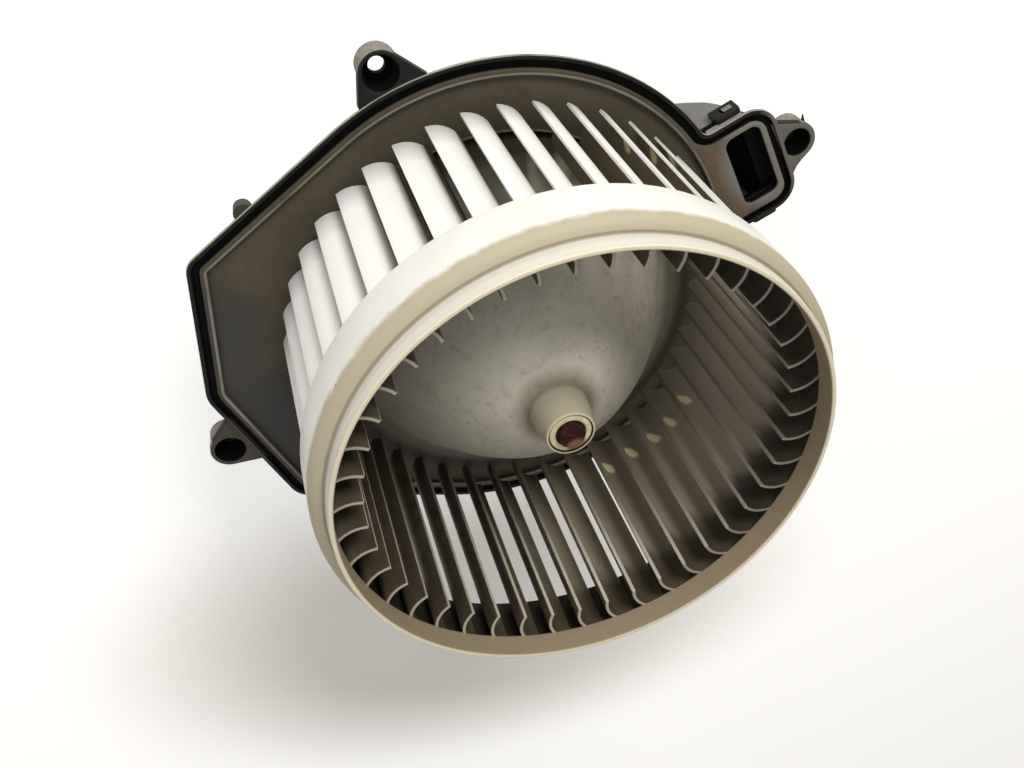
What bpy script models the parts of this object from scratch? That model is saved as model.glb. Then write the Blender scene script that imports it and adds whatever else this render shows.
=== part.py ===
"""Blower fan of a vehicle heater: squirrel-cage wheel on a motor held in a moulded flange.

The frame stands on the flat foot of the rear cover. The origin is the centre of that foot, on the
shaft's axis, and +Z runs along the shaft towards the mouth of the wheel. Sizes are in millimetres
and are turned into metres where a mesh is made.
"""
import math

import bmesh
import bpy
from mathutils import Matrix, Vector

MM = 0.001

# Fits. Neighbouring pieces keep FIT between their faces, a running fit is RUN.
FIT = 0.3
RUN = 0.6

# Wheel. Heights are above its back, depths and steps run from the ring's face or its outside.
BLADES = 43
RING_STEPS = 64
WHEEL_GAP = 7.2
RING_R = 75.0
RING_WALL = 2.0
RING_FACE = 75.5
RING_DEPTH = 18.3
RING_BACK = RING_FACE - RING_DEPTH
SHOULDER_DROP = 4.0
RING_SHOULDER = RING_FACE - SHOULDER_DROP
SHOULDER_IN = 3.6
SHOULDER_R = RING_R - SHOULDER_IN
COLLAR_STEP = 0.4
COLLAR_R = SHOULDER_R - COLLAR_STEP
COLLAR_WALL = 1.5
COLLAR_H = 6.0
COLLAR_TOP = RING_FACE + COLLAR_H
DISC_WALL = 1.5
BLADE_ARC_R = 9.12
BLADE_TIP_IN = 1.77
BLADE_ARC_CENTRE = RING_R - BLADE_TIP_IN - BLADE_ARC_R
BLADE_TIP_TURN = -9.2
BLADE_ROOT_TURN = -114.4
BLADE_WALL = 1.1
BLADE_TIP_WALL = 0.8
BLADE_PHASE = 3.97
BLADE_STEPS = 4
HUB_TOP = 51.2
HUB_FOCUS = 29.2
HUB_WALL = 2.0
HUB_FOLD_Z = 11.25
HUB_FOLD_R = math.sqrt(2.0 * HUB_FOCUS * (HUB_TOP - HUB_FOLD_Z))
BRIM_LAP = 1.81
BRIM_R = BLADE_ARC_CENTRE - BRIM_LAP
BRIM_Z = 1.8
BRIM_WALL = 1.5
BRIM_CURVE = 2.2
BOSS_R = 7.3
BOSS_FLARE = 1.3
BOSS_BASE_R = BOSS_R + BOSS_FLARE
BOSS_H = 10.3
BOSS_TOP = HUB_TOP + BOSS_H
BOSS_DEPTH = 13.0
BOSS_FOOT = HUB_TOP - BOSS_DEPTH

# Shaft and hub insert
SHAFT_R = 4.0
SHAFT_PROUD = 1.8
SHAFT_TAIL = 10.3
INSERT_WALL = 2.0
INSERT_L = 21.8
INSERT_RECESS = 0.2
CHAMFER = 0.6

# Mounting flange. Its depths run down from the top of the rim.
RIM_R = 84.0
RIM_TOP = 58.8
WHEEL_BACK = RIM_TOP + WHEEL_GAP
LIP_WALL = 1.4
GROOVE = 2.4
GROOVE_DEPTH = 2.8
GROOVE_Z = RIM_TOP - GROOVE_DEPTH
RIDGE_WALL = 1.5
FLOOR_DEPTH = 1.8
FLOOR_Z = RIM_TOP - FLOOR_DEPTH
PLATE_DEPTH = 4.6
PLATE_FOOT = RIM_TOP - PLATE_DEPTH
WELL_R = 60.4
WELL_DEPTH = 3.8
WELL_Z = RIM_TOP - WELL_DEPTH
SEAT_DEPTH = 6.2
SEAT_Z = RIM_TOP - SEAT_DEPTH
SEAT_LAP = 2.0
RUNOUT = 2.0

# The scroll's corners: how far beyond the rim's circle, turn about the shaft, and rounding
CORNERS = ((18.522, 80.115, 7.0), (17.92, 108.417, 12.0), (17.821, 138.703, 9.0))

# Motor's can, and the tube that holds it
CAN_R = 30.0
CAN_WALL = 1.5
ISOLATOR_T = 3.2
ISOLATOR_H = 8.0
TUBE_R = CAN_R + ISOLATOR_T
TUBE_WALL = 2.2
TUBE_DEPTH = 33.8
TUBE_FOOT = RIM_TOP - TUBE_DEPTH
TUBE_LIP_R = CAN_R + 1.0
WINDOW_DEPTH = 22.8
WINDOW_W = 16.0
WINDOW_H = 12.0

# Cooling-air inlet. It lies along a radius at DUCT_TURN degrees: U runs outwards, V across.
DUCT_TURN = -56.0
DUCT_OFF = 3.0
DUCT_L = 12.5
DUCT_U = (RIM_R + DUCT_OFF, RIM_R + DUCT_OFF + DUCT_L)
DUCT_V = (-11.2, 15.6)
DUCT_CORNER = 3.0
DUCT_TOE_WALL = 5.9
DUCT_OUT_U = DUCT_U[1] + DUCT_TOE_WALL
DUCT_SIDE = (5.6, 7.2)
DUCT_OUT_V = (DUCT_V[0] - DUCT_SIDE[0], DUCT_V[1] + DUCT_SIDE[1])
DUCT_OUT_CORNER = 9.0
DUCT_LEDGE_L = 4.5
DUCT_THROAT_U = DUCT_U[1] - DUCT_LEDGE_L
DUCT_LEDGE_DEPTH = 3.2
DUCT_LEDGE_Z = RIM_TOP - DUCT_LEDGE_DEPTH

RIB_TURNS = (62.0, 92.0, 122.0, 150.0, 178.0, 206.0)
RIB_W = 1.6
RIB_DROP = 3.5
RIB_INSET = 2.0

# Screw ears: distance beyond the rim's circle and turn of the axis, wall round the counterbore, and
# the two ends of the web, each as a distance beyond the circle and a turn
EAR_R = 6.6
EAR_DEPTH = 0.9
EAR_TOP = RIM_TOP - EAR_DEPTH
EAR_PLATE = 3.0
EAR_H = 9.9
EAR_FOOT = EAR_TOP - EAR_H
EAR_TAPER = 0.3
EAR_HOLE_R = 2.5
EAR_BORE_DEPTH = 7.6
EAR_BORE_TAPER = 1.3
EARS = (
    (5.5, 30.9, 1.1, (0.404, 36.327), (-0.423, 22.884)),
    (26.0, -57.9, 1.9, (20.328, -51.812), (19.978, -63.435)),
    (20.8, 121.0, 1.1, (14.693, 114.228), (13.5, 126.870)),
)
LOCATOR_OUT = 5.768
LOCATOR_TURN = 68.637
LOCATOR_R = 3.1
LOCATOR_DEPTH = 8.8
LOCATOR_FOOT = RIM_TOP - LOCATOR_DEPTH

# Rear cover
CUP_GAP = 6.8
CUP_R = TUBE_R + CUP_GAP
CUP_TAPER = 1.5
CUP_FLOOR = 2.4
PAN_SHELF = 6.0
PAN_R = CUP_R + PAN_SHELF
PAN_FLOOR = 26.0
PAN_U = DUCT_OUT_U - 5.9
PAN_V = (DUCT_OUT_V[0] + 0.8, DUCT_OUT_V[1] - 2.2)
PAN_CORNER = 8.0
ARM_ROOT = RIM_R - 6.0
COVER_WALL = 2.0

# The rounded toe of the cover's arm: a circle on an axis across the arm, which ends at TOE_END_U
TOE_R = 72.0
TOE_RISE = 27.2
TOE_END_U = DUCT_OUT_U - 7.436
TOE_AXIS = (TOE_END_U - math.sqrt(TOE_R ** 2 - TOE_RISE ** 2), SEAT_Z - FIT + TOE_RISE)

LATCH_U = RIM_R + 8.0
LATCH_W = 9.0
LATCH_T = 2.0
LATCH_Z = (RIM_TOP - 9.6, RIM_TOP - 2.2)
LATCH_BAR = 2.0
LATCH_WINDOW = 3.8
LATCH_WINDOW_OFF = 1.2
CATCH_W = LATCH_WINDOW - 2.0 * FIT
CATCH_H = 2.4

# Motor. The brush card stands above the can's foot, and everything else in the can follows from it.
CAN_FOOT = 22.0
CAN_CORNER = 2.0
CAN_ABOVE = 22.6
CAN_TOP = WHEEL_BACK + CAN_ABOVE
BEARING_R = 8.4
BEARING_L = 5.4
NOSE_WALL = 1.6
NOSE_R = BEARING_R + FIT + NOSE_WALL
NOSE_H = 6.4
NOSE_TOP = CAN_TOP + NOSE_H
VENT_L = 9.0
VENT_W = 7.0
VENT_R = CAN_R - 10.5
RETAINER_R = BEARING_R + 4.6
RETAINER_IN = BEARING_R - 2.2
RETAINER_T = 0.6
WASHER_R = 7.4
WASHER_T = 1.0
MAGNET_T = 5.2
MAGNET_R = CAN_R - CAN_WALL - FIT - MAGNET_T
MAGNET_ARC = 128.0
MAGNET_CLIP_T = 0.8
MAGNET_CLIP_IN = 6.0
CARD_UP = 6.0
CARD_T = 2.0
CARD_Z = (CAN_FOOT + CARD_UP, CAN_FOOT + CARD_UP + CARD_T)
CARD_HOLE_R = 13.0
COMM_R = 11.0
COMM_L = 13.5
COMM_SLIT = 0.7
COMM_Z = (CARD_Z[1], CARD_Z[1] + COMM_L)
MAGNET_Z = (COMM_Z[1] + 0.5, CAN_TOP - 6.6)
CORE_IN = 4.0
CORE_Z = (MAGNET_Z[0] + CORE_IN, MAGNET_Z[1] - CORE_IN)
CORE_SLOTS = 12
CORE_SHOE = 1.6
CORE_NECK = 3.4
COIL_IN = 2.4
COIL_H = 4.4
COIL_BORE = 9.0
COIL_ROUND = 1.6
BAR_R = 2.0
BRUSH_W = 7.0
BRUSH_H = 6.0
BRUSH_UP = 2.0
BRUSH_BOX_OUT = CAN_R - CAN_WALL - 1.9
BRUSH_BOX_WALL = 1.0
BRUSH_BOX_END = 1.5
SPRING_L = 5.2
SPRING_R = 2.0
SPRING_WIRE = 0.35
CHOKE_R = 2.6
CHOKE_L = 14.0
CHOKE_LEAD = 1.6
CAPACITOR = (4.0, 8.0, 6.0)
PARTS_R = CAN_R - 10.0
BELL_DEPTH = 3.7
BELL_Z = CAN_FOOT - BELL_DEPTH
BELL_CUP = 7.0
SHAFT_FOOT = BELL_Z - SHAFT_TAIL
ISOLATOR_GAP = 4.3
PILLAR_TOP = BELL_Z - ISOLATOR_GAP
PILLAR_R = CAN_R - 5.5
PILLAR_WALL = 2.0

# Plug socket
TERMINAL_W = 6.3
TERMINAL_T = 0.8
TERMINAL_PITCH = 8.4
TERMINAL_END = 3.0
SOCKET_TURN = 180.0
SOCKET_L = 17.0
SOCKET_OUT = CUP_R + SOCKET_L
SOCKET_WALL = 1.8
SOCKET_ROOM = 0.7
SOCKET_W = TERMINAL_PITCH + TERMINAL_W + SOCKET_ROOM + 2.0 * SOCKET_WALL
SOCKET_Z = (5.0, 19.0)


def clear_scene():
    for ob in list(bpy.data.objects):
        bpy.data.objects.remove(ob, do_unlink=True)
    for coll in list(bpy.data.collections):
        bpy.data.collections.remove(coll)


def material(name, rgb, roughness, metallic=0.0):
    mat = bpy.data.materials.new(name)
    mat.use_nodes = True
    shader = mat.node_tree.nodes["Principled BSDF"]
    shader.inputs["Base Color"].default_value = (*rgb, 1.0)
    shader.inputs["Roughness"].default_value = roughness
    shader.inputs["Metallic"].default_value = metallic
    mat.diffuse_color = (*rgb, 1.0)
    return mat


def collection(name):
    coll = bpy.data.collections.new(name)
    bpy.context.scene.collection.children.link(coll)
    return coll


def add(name, mesh, coll, mat=None):
    ob = bpy.data.objects.new(name, mesh)
    coll.objects.link(ob)
    if mat:
        mesh.materials.append(mat)
    return ob


def as_cutter(ob):
    ob.hide_render = True
    ob.display_type = 'WIRE'
    return ob


def polar(radius, degrees):
    a = math.radians(degrees)
    return (radius * math.cos(a), radius * math.sin(a))


def duct_point(u, v):
    """A point of the inlet's own frame, in plan."""
    a = math.radians(DUCT_TURN)
    return (u * math.cos(a) + v * math.sin(a), u * math.sin(a) - v * math.cos(a))


def turned(name, profile, coll, mat=None, steps=48):
    """Revolves a section of (radius, height) points about Z. The list runs down the outer side."""
    bm = bmesh.new()
    verts = [bm.verts.new((r * MM, 0.0, z * MM)) for r, z in profile]
    for a, b in zip(verts, verts[1:]):
        bm.edges.new((a, b))
    if profile[0][0] > 0.0:
        bm.edges.new((verts[-1], verts[0]))
    mesh = bpy.data.meshes.new(name)
    bm.to_mesh(mesh)
    bm.free()
    ob = add(name, mesh, coll, mat)
    mod = ob.modifiers.new("turn", 'SCREW')
    mod.steps = steps
    mod.render_steps = steps
    mod.use_merge_vertices = True
    mod.merge_threshold = 0.00001
    mod.use_smooth_shade = True
    return ob


def flat(name, outlines, z0, z1, coll, mat=None):
    """A plate with the given closed outlines (holes inside the first), from height z0 to z1."""
    curve = bpy.data.curves.new(name + "_outline", 'CURVE')
    curve.dimensions = '2D'
    curve.fill_mode = 'BOTH'
    curve.extrude = (z1 - z0) * 0.5 * MM
    for pts in outlines:
        spline = curve.splines.new('POLY')
        spline.points.add(len(pts) - 1)
        for p, (x, y) in zip(spline.points, pts):
            p.co = (x * MM, y * MM, 0.0, 1.0)
        spline.use_cyclic_u = True
    guide = bpy.data.objects.new(name + "_outline", curve)
    guide.location.z = (z0 + z1) * 0.5 * MM
    coll.objects.link(guide)
    bpy.context.view_layer.update()
    graph = bpy.context.evaluated_depsgraph_get()
    mesh = bpy.data.meshes.new_from_object(guide.evaluated_get(graph))
    mesh.name = name
    bm = bmesh.new()
    bm.from_mesh(mesh)
    bmesh.ops.remove_doubles(bm, verts=bm.verts, dist=0.000001)
    bmesh.ops.recalc_face_normals(bm, faces=bm.faces)
    bm.to_mesh(mesh)
    bm.free()
    mesh.materials.clear()
    ob = add(name, mesh, coll, mat)
    ob.matrix_world = guide.matrix_world
    bpy.data.objects.remove(guide, do_unlink=True)
    return ob


def block(name, centre, size, coll, mat=None, turn=0.0):
    """A box with its centre and size, turned about Z."""
    mesh = bpy.data.meshes.new(name)
    bm = bmesh.new()
    bmesh.ops.create_cube(bm, size=1.0)
    bmesh.ops.scale(bm, vec=[s * MM for s in size], verts=bm.verts)
    bm.to_mesh(mesh)
    bm.free()
    ob = add(name, mesh, coll, mat)
    ob.location = [c * MM for c in centre]
    ob.rotation_euler.z = math.radians(turn)
    return ob


def drum(name, x, y, z0, z1, r0, r1, coll, mat=None, steps=24):
    """A cylinder or cone standing on Z, radius r0 at z0 and r1 at z1."""
    mesh = bpy.data.meshes.new(name)
    bm = bmesh.new()
    bmesh.ops.create_cone(bm, cap_ends=True, segments=steps, radius1=r0 * MM, radius2=r1 * MM,
                          depth=(z1 - z0) * MM)
    bm.to_mesh(mesh)
    bm.free()
    ob = add(name, mesh, coll, mat)
    ob.location = (x * MM, y * MM, (z0 + z1) * 0.5 * MM)
    return ob


def combine(ob, tool, operation):
    mod = ob.modifiers.new(tool.name, 'BOOLEAN')
    mod.operation = operation
    mod.object = tool
    as_cutter(tool)
    return ob


def smooth(ob, degrees=35.0):
    if ob.type == 'MESH' and ob.data.polygons:
        ob.data.shade_smooth()
        ob.data.set_sharp_from_angle(angle=math.radians(degrees))


def arc(cx, cy, radius, start, stop, steps):
    """Points of an arc in plan, angles in degrees."""
    pts = []
    for i in range(steps + 1):
        x, y = polar(radius, start + (stop - start) * i / steps)
        pts.append((cx + x, cy + y))
    return pts


def ring_points(radius, steps):
    """A whole circle about the shaft as a closed outline."""
    return arc(0.0, 0.0, radius, 0.0, 360.0 - 360.0 / steps, steps - 1)


def fillet(before, corner, after, radius, steps=5):
    """The rounded corner between two straight edges, as points."""
    c = Vector(corner)
    a = (Vector(before) - c).normalized()
    b = (Vector(after) - c).normalized()
    half = a.angle(b) * 0.5
    centre = c + (a + b).normalized() * (radius / math.sin(half))
    p = c + a * (radius / math.tan(half)) - centre
    q = c + b * (radius / math.tan(half)) - centre
    a0 = math.degrees(math.atan2(p.y, p.x))
    a1 = math.degrees(math.atan2(q.y, q.x))
    while a1 - a0 > 180.0:
        a1 -= 360.0
    while a1 - a0 < -180.0:
        a1 += 360.0
    return arc(centre.x, centre.y, radius, a0, a1, steps)


def inset(points, distance):
    """Moves a closed outline inwards by a distance along its mitred corners (anticlockwise list)."""
    out = []
    n = len(points)
    for i in range(n):
        p = Vector(points[i])
        a = (p - Vector(points[i - 1])).normalized()
        b = (Vector(points[(i + 1) % n]) - p).normalized()
        na = Vector((-a.y, a.x))
        nb = Vector((-b.y, b.x))
        mid = (na + nb).normalized()
        out.append(tuple(p + mid * (distance / max(0.3, mid.dot(na)))))
    return out


def hull(points):
    """Convex hull in plan, anticlockwise."""
    pts = sorted(set((round(x, 6), round(y, 6)) for x, y in points))

    def half(seq):
        chain = []
        for p in seq:
            while len(chain) > 1:
                (ax, ay), (bx, by) = chain[-2], chain[-1]
                if (bx - ax) * (p[1] - ay) - (by - ay) * (p[0] - ax) > 1e-9:
                    break
                chain.pop()
            chain.append(p)
        return chain[:-1]

    return half(pts) + half(pts[::-1])


def rounded_box(u, v, radius, steps=3):
    """A rectangle with round corners in the inlet's frame, anticlockwise in plan."""
    (u0, u1), (v0, v1) = u, v
    pts = []
    for cu, cv, start in ((u1 - radius, v0 + radius, 90.0), (u0 + radius, v0 + radius, 180.0),
                          (u0 + radius, v1 - radius, 270.0), (u1 - radius, v1 - radius, 360.0)):
        for i in range(steps + 1):
            a = math.radians(start - 90.0 + 90.0 * i / steps)
            pts.append(duct_point(cu + radius * math.cos(a), cv - radius * math.sin(a)))
    return pts


def tangent_turn(corner, side):
    """The turn of the point where a line from the corner touches the rim's circle."""
    beyond, turn = corner[:2]
    return turn + side * math.degrees(math.acos(RIM_R / (RIM_R + beyond)))


def scroll_outline(duct):
    """The flange's outer edge: a circle, the three scroll corners and, if asked, the inlet's arm."""
    first = tangent_turn(CORNERS[0], -1.0)
    last = tangent_turn(CORNERS[-1], 1.0)
    pts = []
    line = [polar(RIM_R + c[0], c[1]) for c in CORNERS]
    line = [polar(RIM_R, first)] + line + [polar(RIM_R, last)]
    for i, corner in enumerate(CORNERS):
        pts += fillet(line[i], line[i + 1], line[i + 2], corner[2], 4)
    if not duct:
        pts += arc(0.0, 0.0, RIM_R, last, first + 360.0, 36)
        return pts
    v0, v1 = DUCT_OUT_V
    turn1 = DUCT_TURN - math.degrees(math.asin(v1 / RIM_R))
    turn0 = DUCT_TURN - math.degrees(math.asin(v0 / RIM_R))
    bend = 4.0
    pts += arc(0.0, 0.0, RIM_R, last, turn1 + 360.0 - 3.0, 20)
    root1 = math.sqrt(RIM_R ** 2 - v1 ** 2)
    root0 = math.sqrt(RIM_R ** 2 - v0 ** 2)
    pts.append(duct_point(root1 + bend, v1))
    pts += [duct_point(*p) for p in corner_uv(DUCT_OUT_U, v1, DUCT_OUT_CORNER, 1.0)]
    pts += [duct_point(*p) for p in corner_uv(DUCT_OUT_U, v0, DUCT_OUT_CORNER, -1.0)]
    pts.append(duct_point(root0 + bend, v0))
    pts += arc(0.0, 0.0, RIM_R, turn0 + 360.0 + 3.0, first + 360.0, 14)
    return pts


def corner_uv(u, v, radius, side):
    """The rounded outer corner of the inlet's arm, in its frame, walked anticlockwise in plan."""
    pts = []
    for i in range(4):
        a = math.radians(90.0 * i / 3)
        c, s = (math.sin(a), math.cos(a)) if side > 0 else (math.cos(a), math.sin(a))
        pts.append((u - radius + radius * c, v - side * radius + side * radius * s))
    return pts


def pan_outline(radius, grow=0.0):
    """A circle about the shaft, drawn out to the root of a straight arm under the inlet."""
    v0, v1 = PAN_V[0] - grow, PAN_V[1] + grow
    root = duct_point(ARM_ROOT, v0)
    body = hull(ring_points(radius, 40) + [duct_point(ARM_ROOT, v1), root])
    k = min(range(len(body)), key=lambda i: math.dist(body[i], root))
    arm = corner_uv(PAN_U + grow, v1, PAN_CORNER, 1.0) + corner_uv(PAN_U + grow, v0, PAN_CORNER, -1.0)
    return body[k:] + body[:k] + [duct_point(*p) for p in arm]


def blade_section():
    """Closed outline of one blade: an arc with its thickness, thinner at the tip."""
    outer = []
    inner = []
    for i in range(BLADE_STEPS + 1):
        t = i / BLADE_STEPS
        a = math.radians(BLADE_TIP_TURN + (BLADE_ROOT_TURN - BLADE_TIP_TURN) * t)
        half = 0.5 * (BLADE_TIP_WALL + (BLADE_WALL - BLADE_TIP_WALL) * min(1.0, 2.0 * t))
        for side, pts in ((half, outer), (-half, inner)):
            r = BLADE_ARC_R + side
            pts.append((BLADE_ARC_CENTRE + r * math.cos(a), r * math.sin(a)))
    return outer[::-1] + inner


def build_wheel(coll, cutters, mat):
    z = WHEEL_BACK
    top = z + COLLAR_TOP
    shoulder = []
    for i in range(5):
        a = math.radians(90.0 * i / 4)
        shoulder.append((SHOULDER_R + (RING_R - SHOULDER_R) * math.sin(a),
                         z + RING_SHOULDER + (RING_FACE - RING_SHOULDER) * math.cos(a)))
    bore = COLLAR_R - COLLAR_WALL
    band = RING_R - RING_WALL
    under = z + RING_FACE - DISC_WALL
    profile = [(bore, top), (COLLAR_R - 0.4, top), (COLLAR_R, top - 0.4),
               (COLLAR_R, z + RING_FACE + 0.1)] + shoulder
    profile += [(RING_R, z + RING_BACK), (band, z + RING_BACK), (band, under), (bore, under)]
    wheel = turned("fan_wheel", profile, coll, mat, RING_STEPS)

    mesh = bpy.data.meshes.new("blades")
    bm = bmesh.new()
    lower = [bm.verts.new((x * MM, y * MM, z * MM)) for x, y in blade_section()]
    face = bm.faces.new(lower)
    raised = bmesh.ops.extrude_face_region(bm, geom=[face])
    up = [g for g in raised["geom"] if isinstance(g, bmesh.types.BMVert)]
    bmesh.ops.translate(bm, vec=(0.0, 0.0, (RING_FACE - DISC_WALL + 0.5) * MM), verts=up)
    bmesh.ops.rotate(bm, cent=(0, 0, 0), matrix=Matrix.Rotation(math.radians(BLADE_PHASE), 3, 'Z'),
                     verts=bm.verts)
    bmesh.ops.spin(bm, geom=bm.verts[:] + bm.edges[:] + bm.faces[:], cent=(0, 0, 0), axis=(0, 0, 1),
                   angle=math.tau * (BLADES - 1) / BLADES, steps=BLADES - 1, use_duplicate=True)
    bmesh.ops.recalc_face_normals(bm, faces=bm.faces)
    bm.to_mesh(mesh)
    bm.free()
    blades = add("blades", mesh, cutters)

    def dome(r):
        return z + HUB_TOP - r * r / (2.0 * HUB_FOCUS)

    radii = [HUB_FOLD_R * share for share in (1.0, 0.89, 0.756, 0.60, 0.424, 0.269)]
    outer = [(r, dome(r)) for r in radii[::-1]]
    inner = []
    for r in radii:
        slope = r / HUB_FOCUS
        k = HUB_WALL / math.sqrt(1.0 + slope * slope)
        inner.append((r - k * slope, dome(r) - k))
    brim = []
    fold = dome(HUB_FOLD_R) - z
    for i in range(1, 4):
        t = i / 3
        brim.append((HUB_FOLD_R + (BRIM_R - HUB_FOLD_R) * t,
                     z + BRIM_Z + (fold - BRIM_Z) * (1.0 - t) ** BRIM_CURVE))
    under_brim = [(r, h - BRIM_WALL - 0.6 * (1 - i / 2)) for i, (r, h) in enumerate(brim)]
    hub_bore = SHAFT_R + FIT + INSERT_WALL + FIT
    boss = z + BOSS_TOP
    foot = z + BOSS_FOOT
    profile = [(hub_bore, boss), (BOSS_R - 0.5, boss), (BOSS_R, boss - 0.5),
               (BOSS_BASE_R - 0.4, boss - BOSS_H * 0.65), (BOSS_BASE_R + 1.0, dome(10.0) + 1.0)]
    profile += outer + brim + under_brim[::-1] + inner
    profile += [(BOSS_BASE_R + 0.9, dome(9.0) - HUB_WALL - 0.4), (BOSS_BASE_R + 0.9, foot),
                (hub_bore, foot)]
    hub = turned("hub", profile, cutters, None, BLADES)
    combine(wheel, blades, 'UNION')
    combine(wheel, hub, 'UNION')
    return wheel


def build_rotor(coll, cutters, mats):
    top = WHEEL_BACK + BOSS_TOP
    r0 = SHAFT_R + FIT
    upper = top - INSERT_RECESS
    turned("hub_insert", [(r0, upper), (r0 + INSERT_WALL, upper),
                          (r0 + INSERT_WALL, upper - INSERT_L), (r0, upper - INSERT_L)],
           coll, mats["bush"], 28)
    end = top + SHAFT_PROUD
    turned("motor_shaft", [(0.0, end), (SHAFT_R - CHAMFER, end), (SHAFT_R, end - CHAMFER),
                           (SHAFT_R, SHAFT_FOOT + CHAMFER), (SHAFT_R - CHAMFER, SHAFT_FOOT),
                           (0.0, SHAFT_FOOT)], coll, mats["shaft"], 24)

    core_r = MAGNET_R - RUN
    pitch = 360.0 / CORE_SLOTS
    edge = []
    for i in range(CORE_SLOTS):
        mid = i * pitch
        shoe = core_r - CORE_SHOE
        neck = core_r - CORE_NECK
        for r, off in ((core_r, -11.5), (core_r, 0.0), (core_r, 11.5), (shoe, 11.5), (neck, 5.0),
                       (COMM_R, 6.5), (COMM_R, pitch - 6.5), (neck, pitch - 5.0),
                       (shoe, pitch - 11.5)):
            edge.append(polar(r, mid + off))
    core = flat("armature_core", [edge, ring_points(r0, 20)], CORE_Z[0], CORE_Z[1],
                coll, mats["core"])

    def coil_end(name, z0, z1):
        r1 = core_r - COIL_IN
        k = COIL_ROUND
        return turned(name, [(COIL_BORE, z1), (r1 - k, z1), (r1, z1 - k), (r1, z0 + k),
                             (r1 - k, z0), (COIL_BORE, z0)], cutters, None, 24)

    rear = COMM_Z[1] + FIT
    bars = bmesh.new()
    mesh = bpy.data.meshes.new("armature_winding")
    for i in range(CORE_SLOTS):
        a = math.radians((i + 0.5) * pitch)
        made = bmesh.ops.create_cone(bars, cap_ends=True, segments=4, radius1=BAR_R * MM,
                                     radius2=BAR_R * MM,
                                     depth=(CORE_Z[1] - CORE_Z[0] + 2.0 * RUNOUT) * MM)
        middle = (COMM_R + core_r - CORE_NECK) * 0.5
        bmesh.ops.translate(bars, verts=made["verts"],
                            vec=(middle * MM * math.cos(a), middle * MM * math.sin(a),
                                 0.5 * (CORE_Z[0] + CORE_Z[1]) * MM))
    bars.to_mesh(mesh)
    bars.free()
    winding = add("armature_winding", mesh, coll, mats["copper"])
    combine(winding, coil_end("winding_rear", rear, CORE_Z[0] - FIT), 'UNION')
    combine(winding, coil_end("winding_front", CORE_Z[1] + FIT, CORE_Z[1] + FIT + COIL_H), 'UNION')

    comm = []
    for i in range(CORE_SLOTS):
        mid = i * pitch
        for r, off in ((COMM_R, -13.6), (COMM_R, 13.6), (COMM_R - COMM_SLIT, 13.8),
                       (COMM_R - COMM_SLIT, pitch - 13.8)):
            comm.append(polar(r, mid + off))
    flat("commutator", [comm, ring_points(r0, 20)], COMM_Z[0], COMM_Z[1], coll,
         mats["copper"])

    lid = CAN_TOP - CAN_WALL
    wash = lid - RETAINER_T - 2 * FIT - 0.5
    for name, z0 in (("front_thrust_washer", wash - WASHER_T),
                     ("rear_thrust_washer", CAN_FOOT + 1.2)):
        z1 = z0 + WASHER_T
        turned(name, [(r0, z1), (WASHER_R, z1), (WASHER_R, z0), (r0, z0)], coll, mats["nylon"], 20)
    return core


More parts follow.
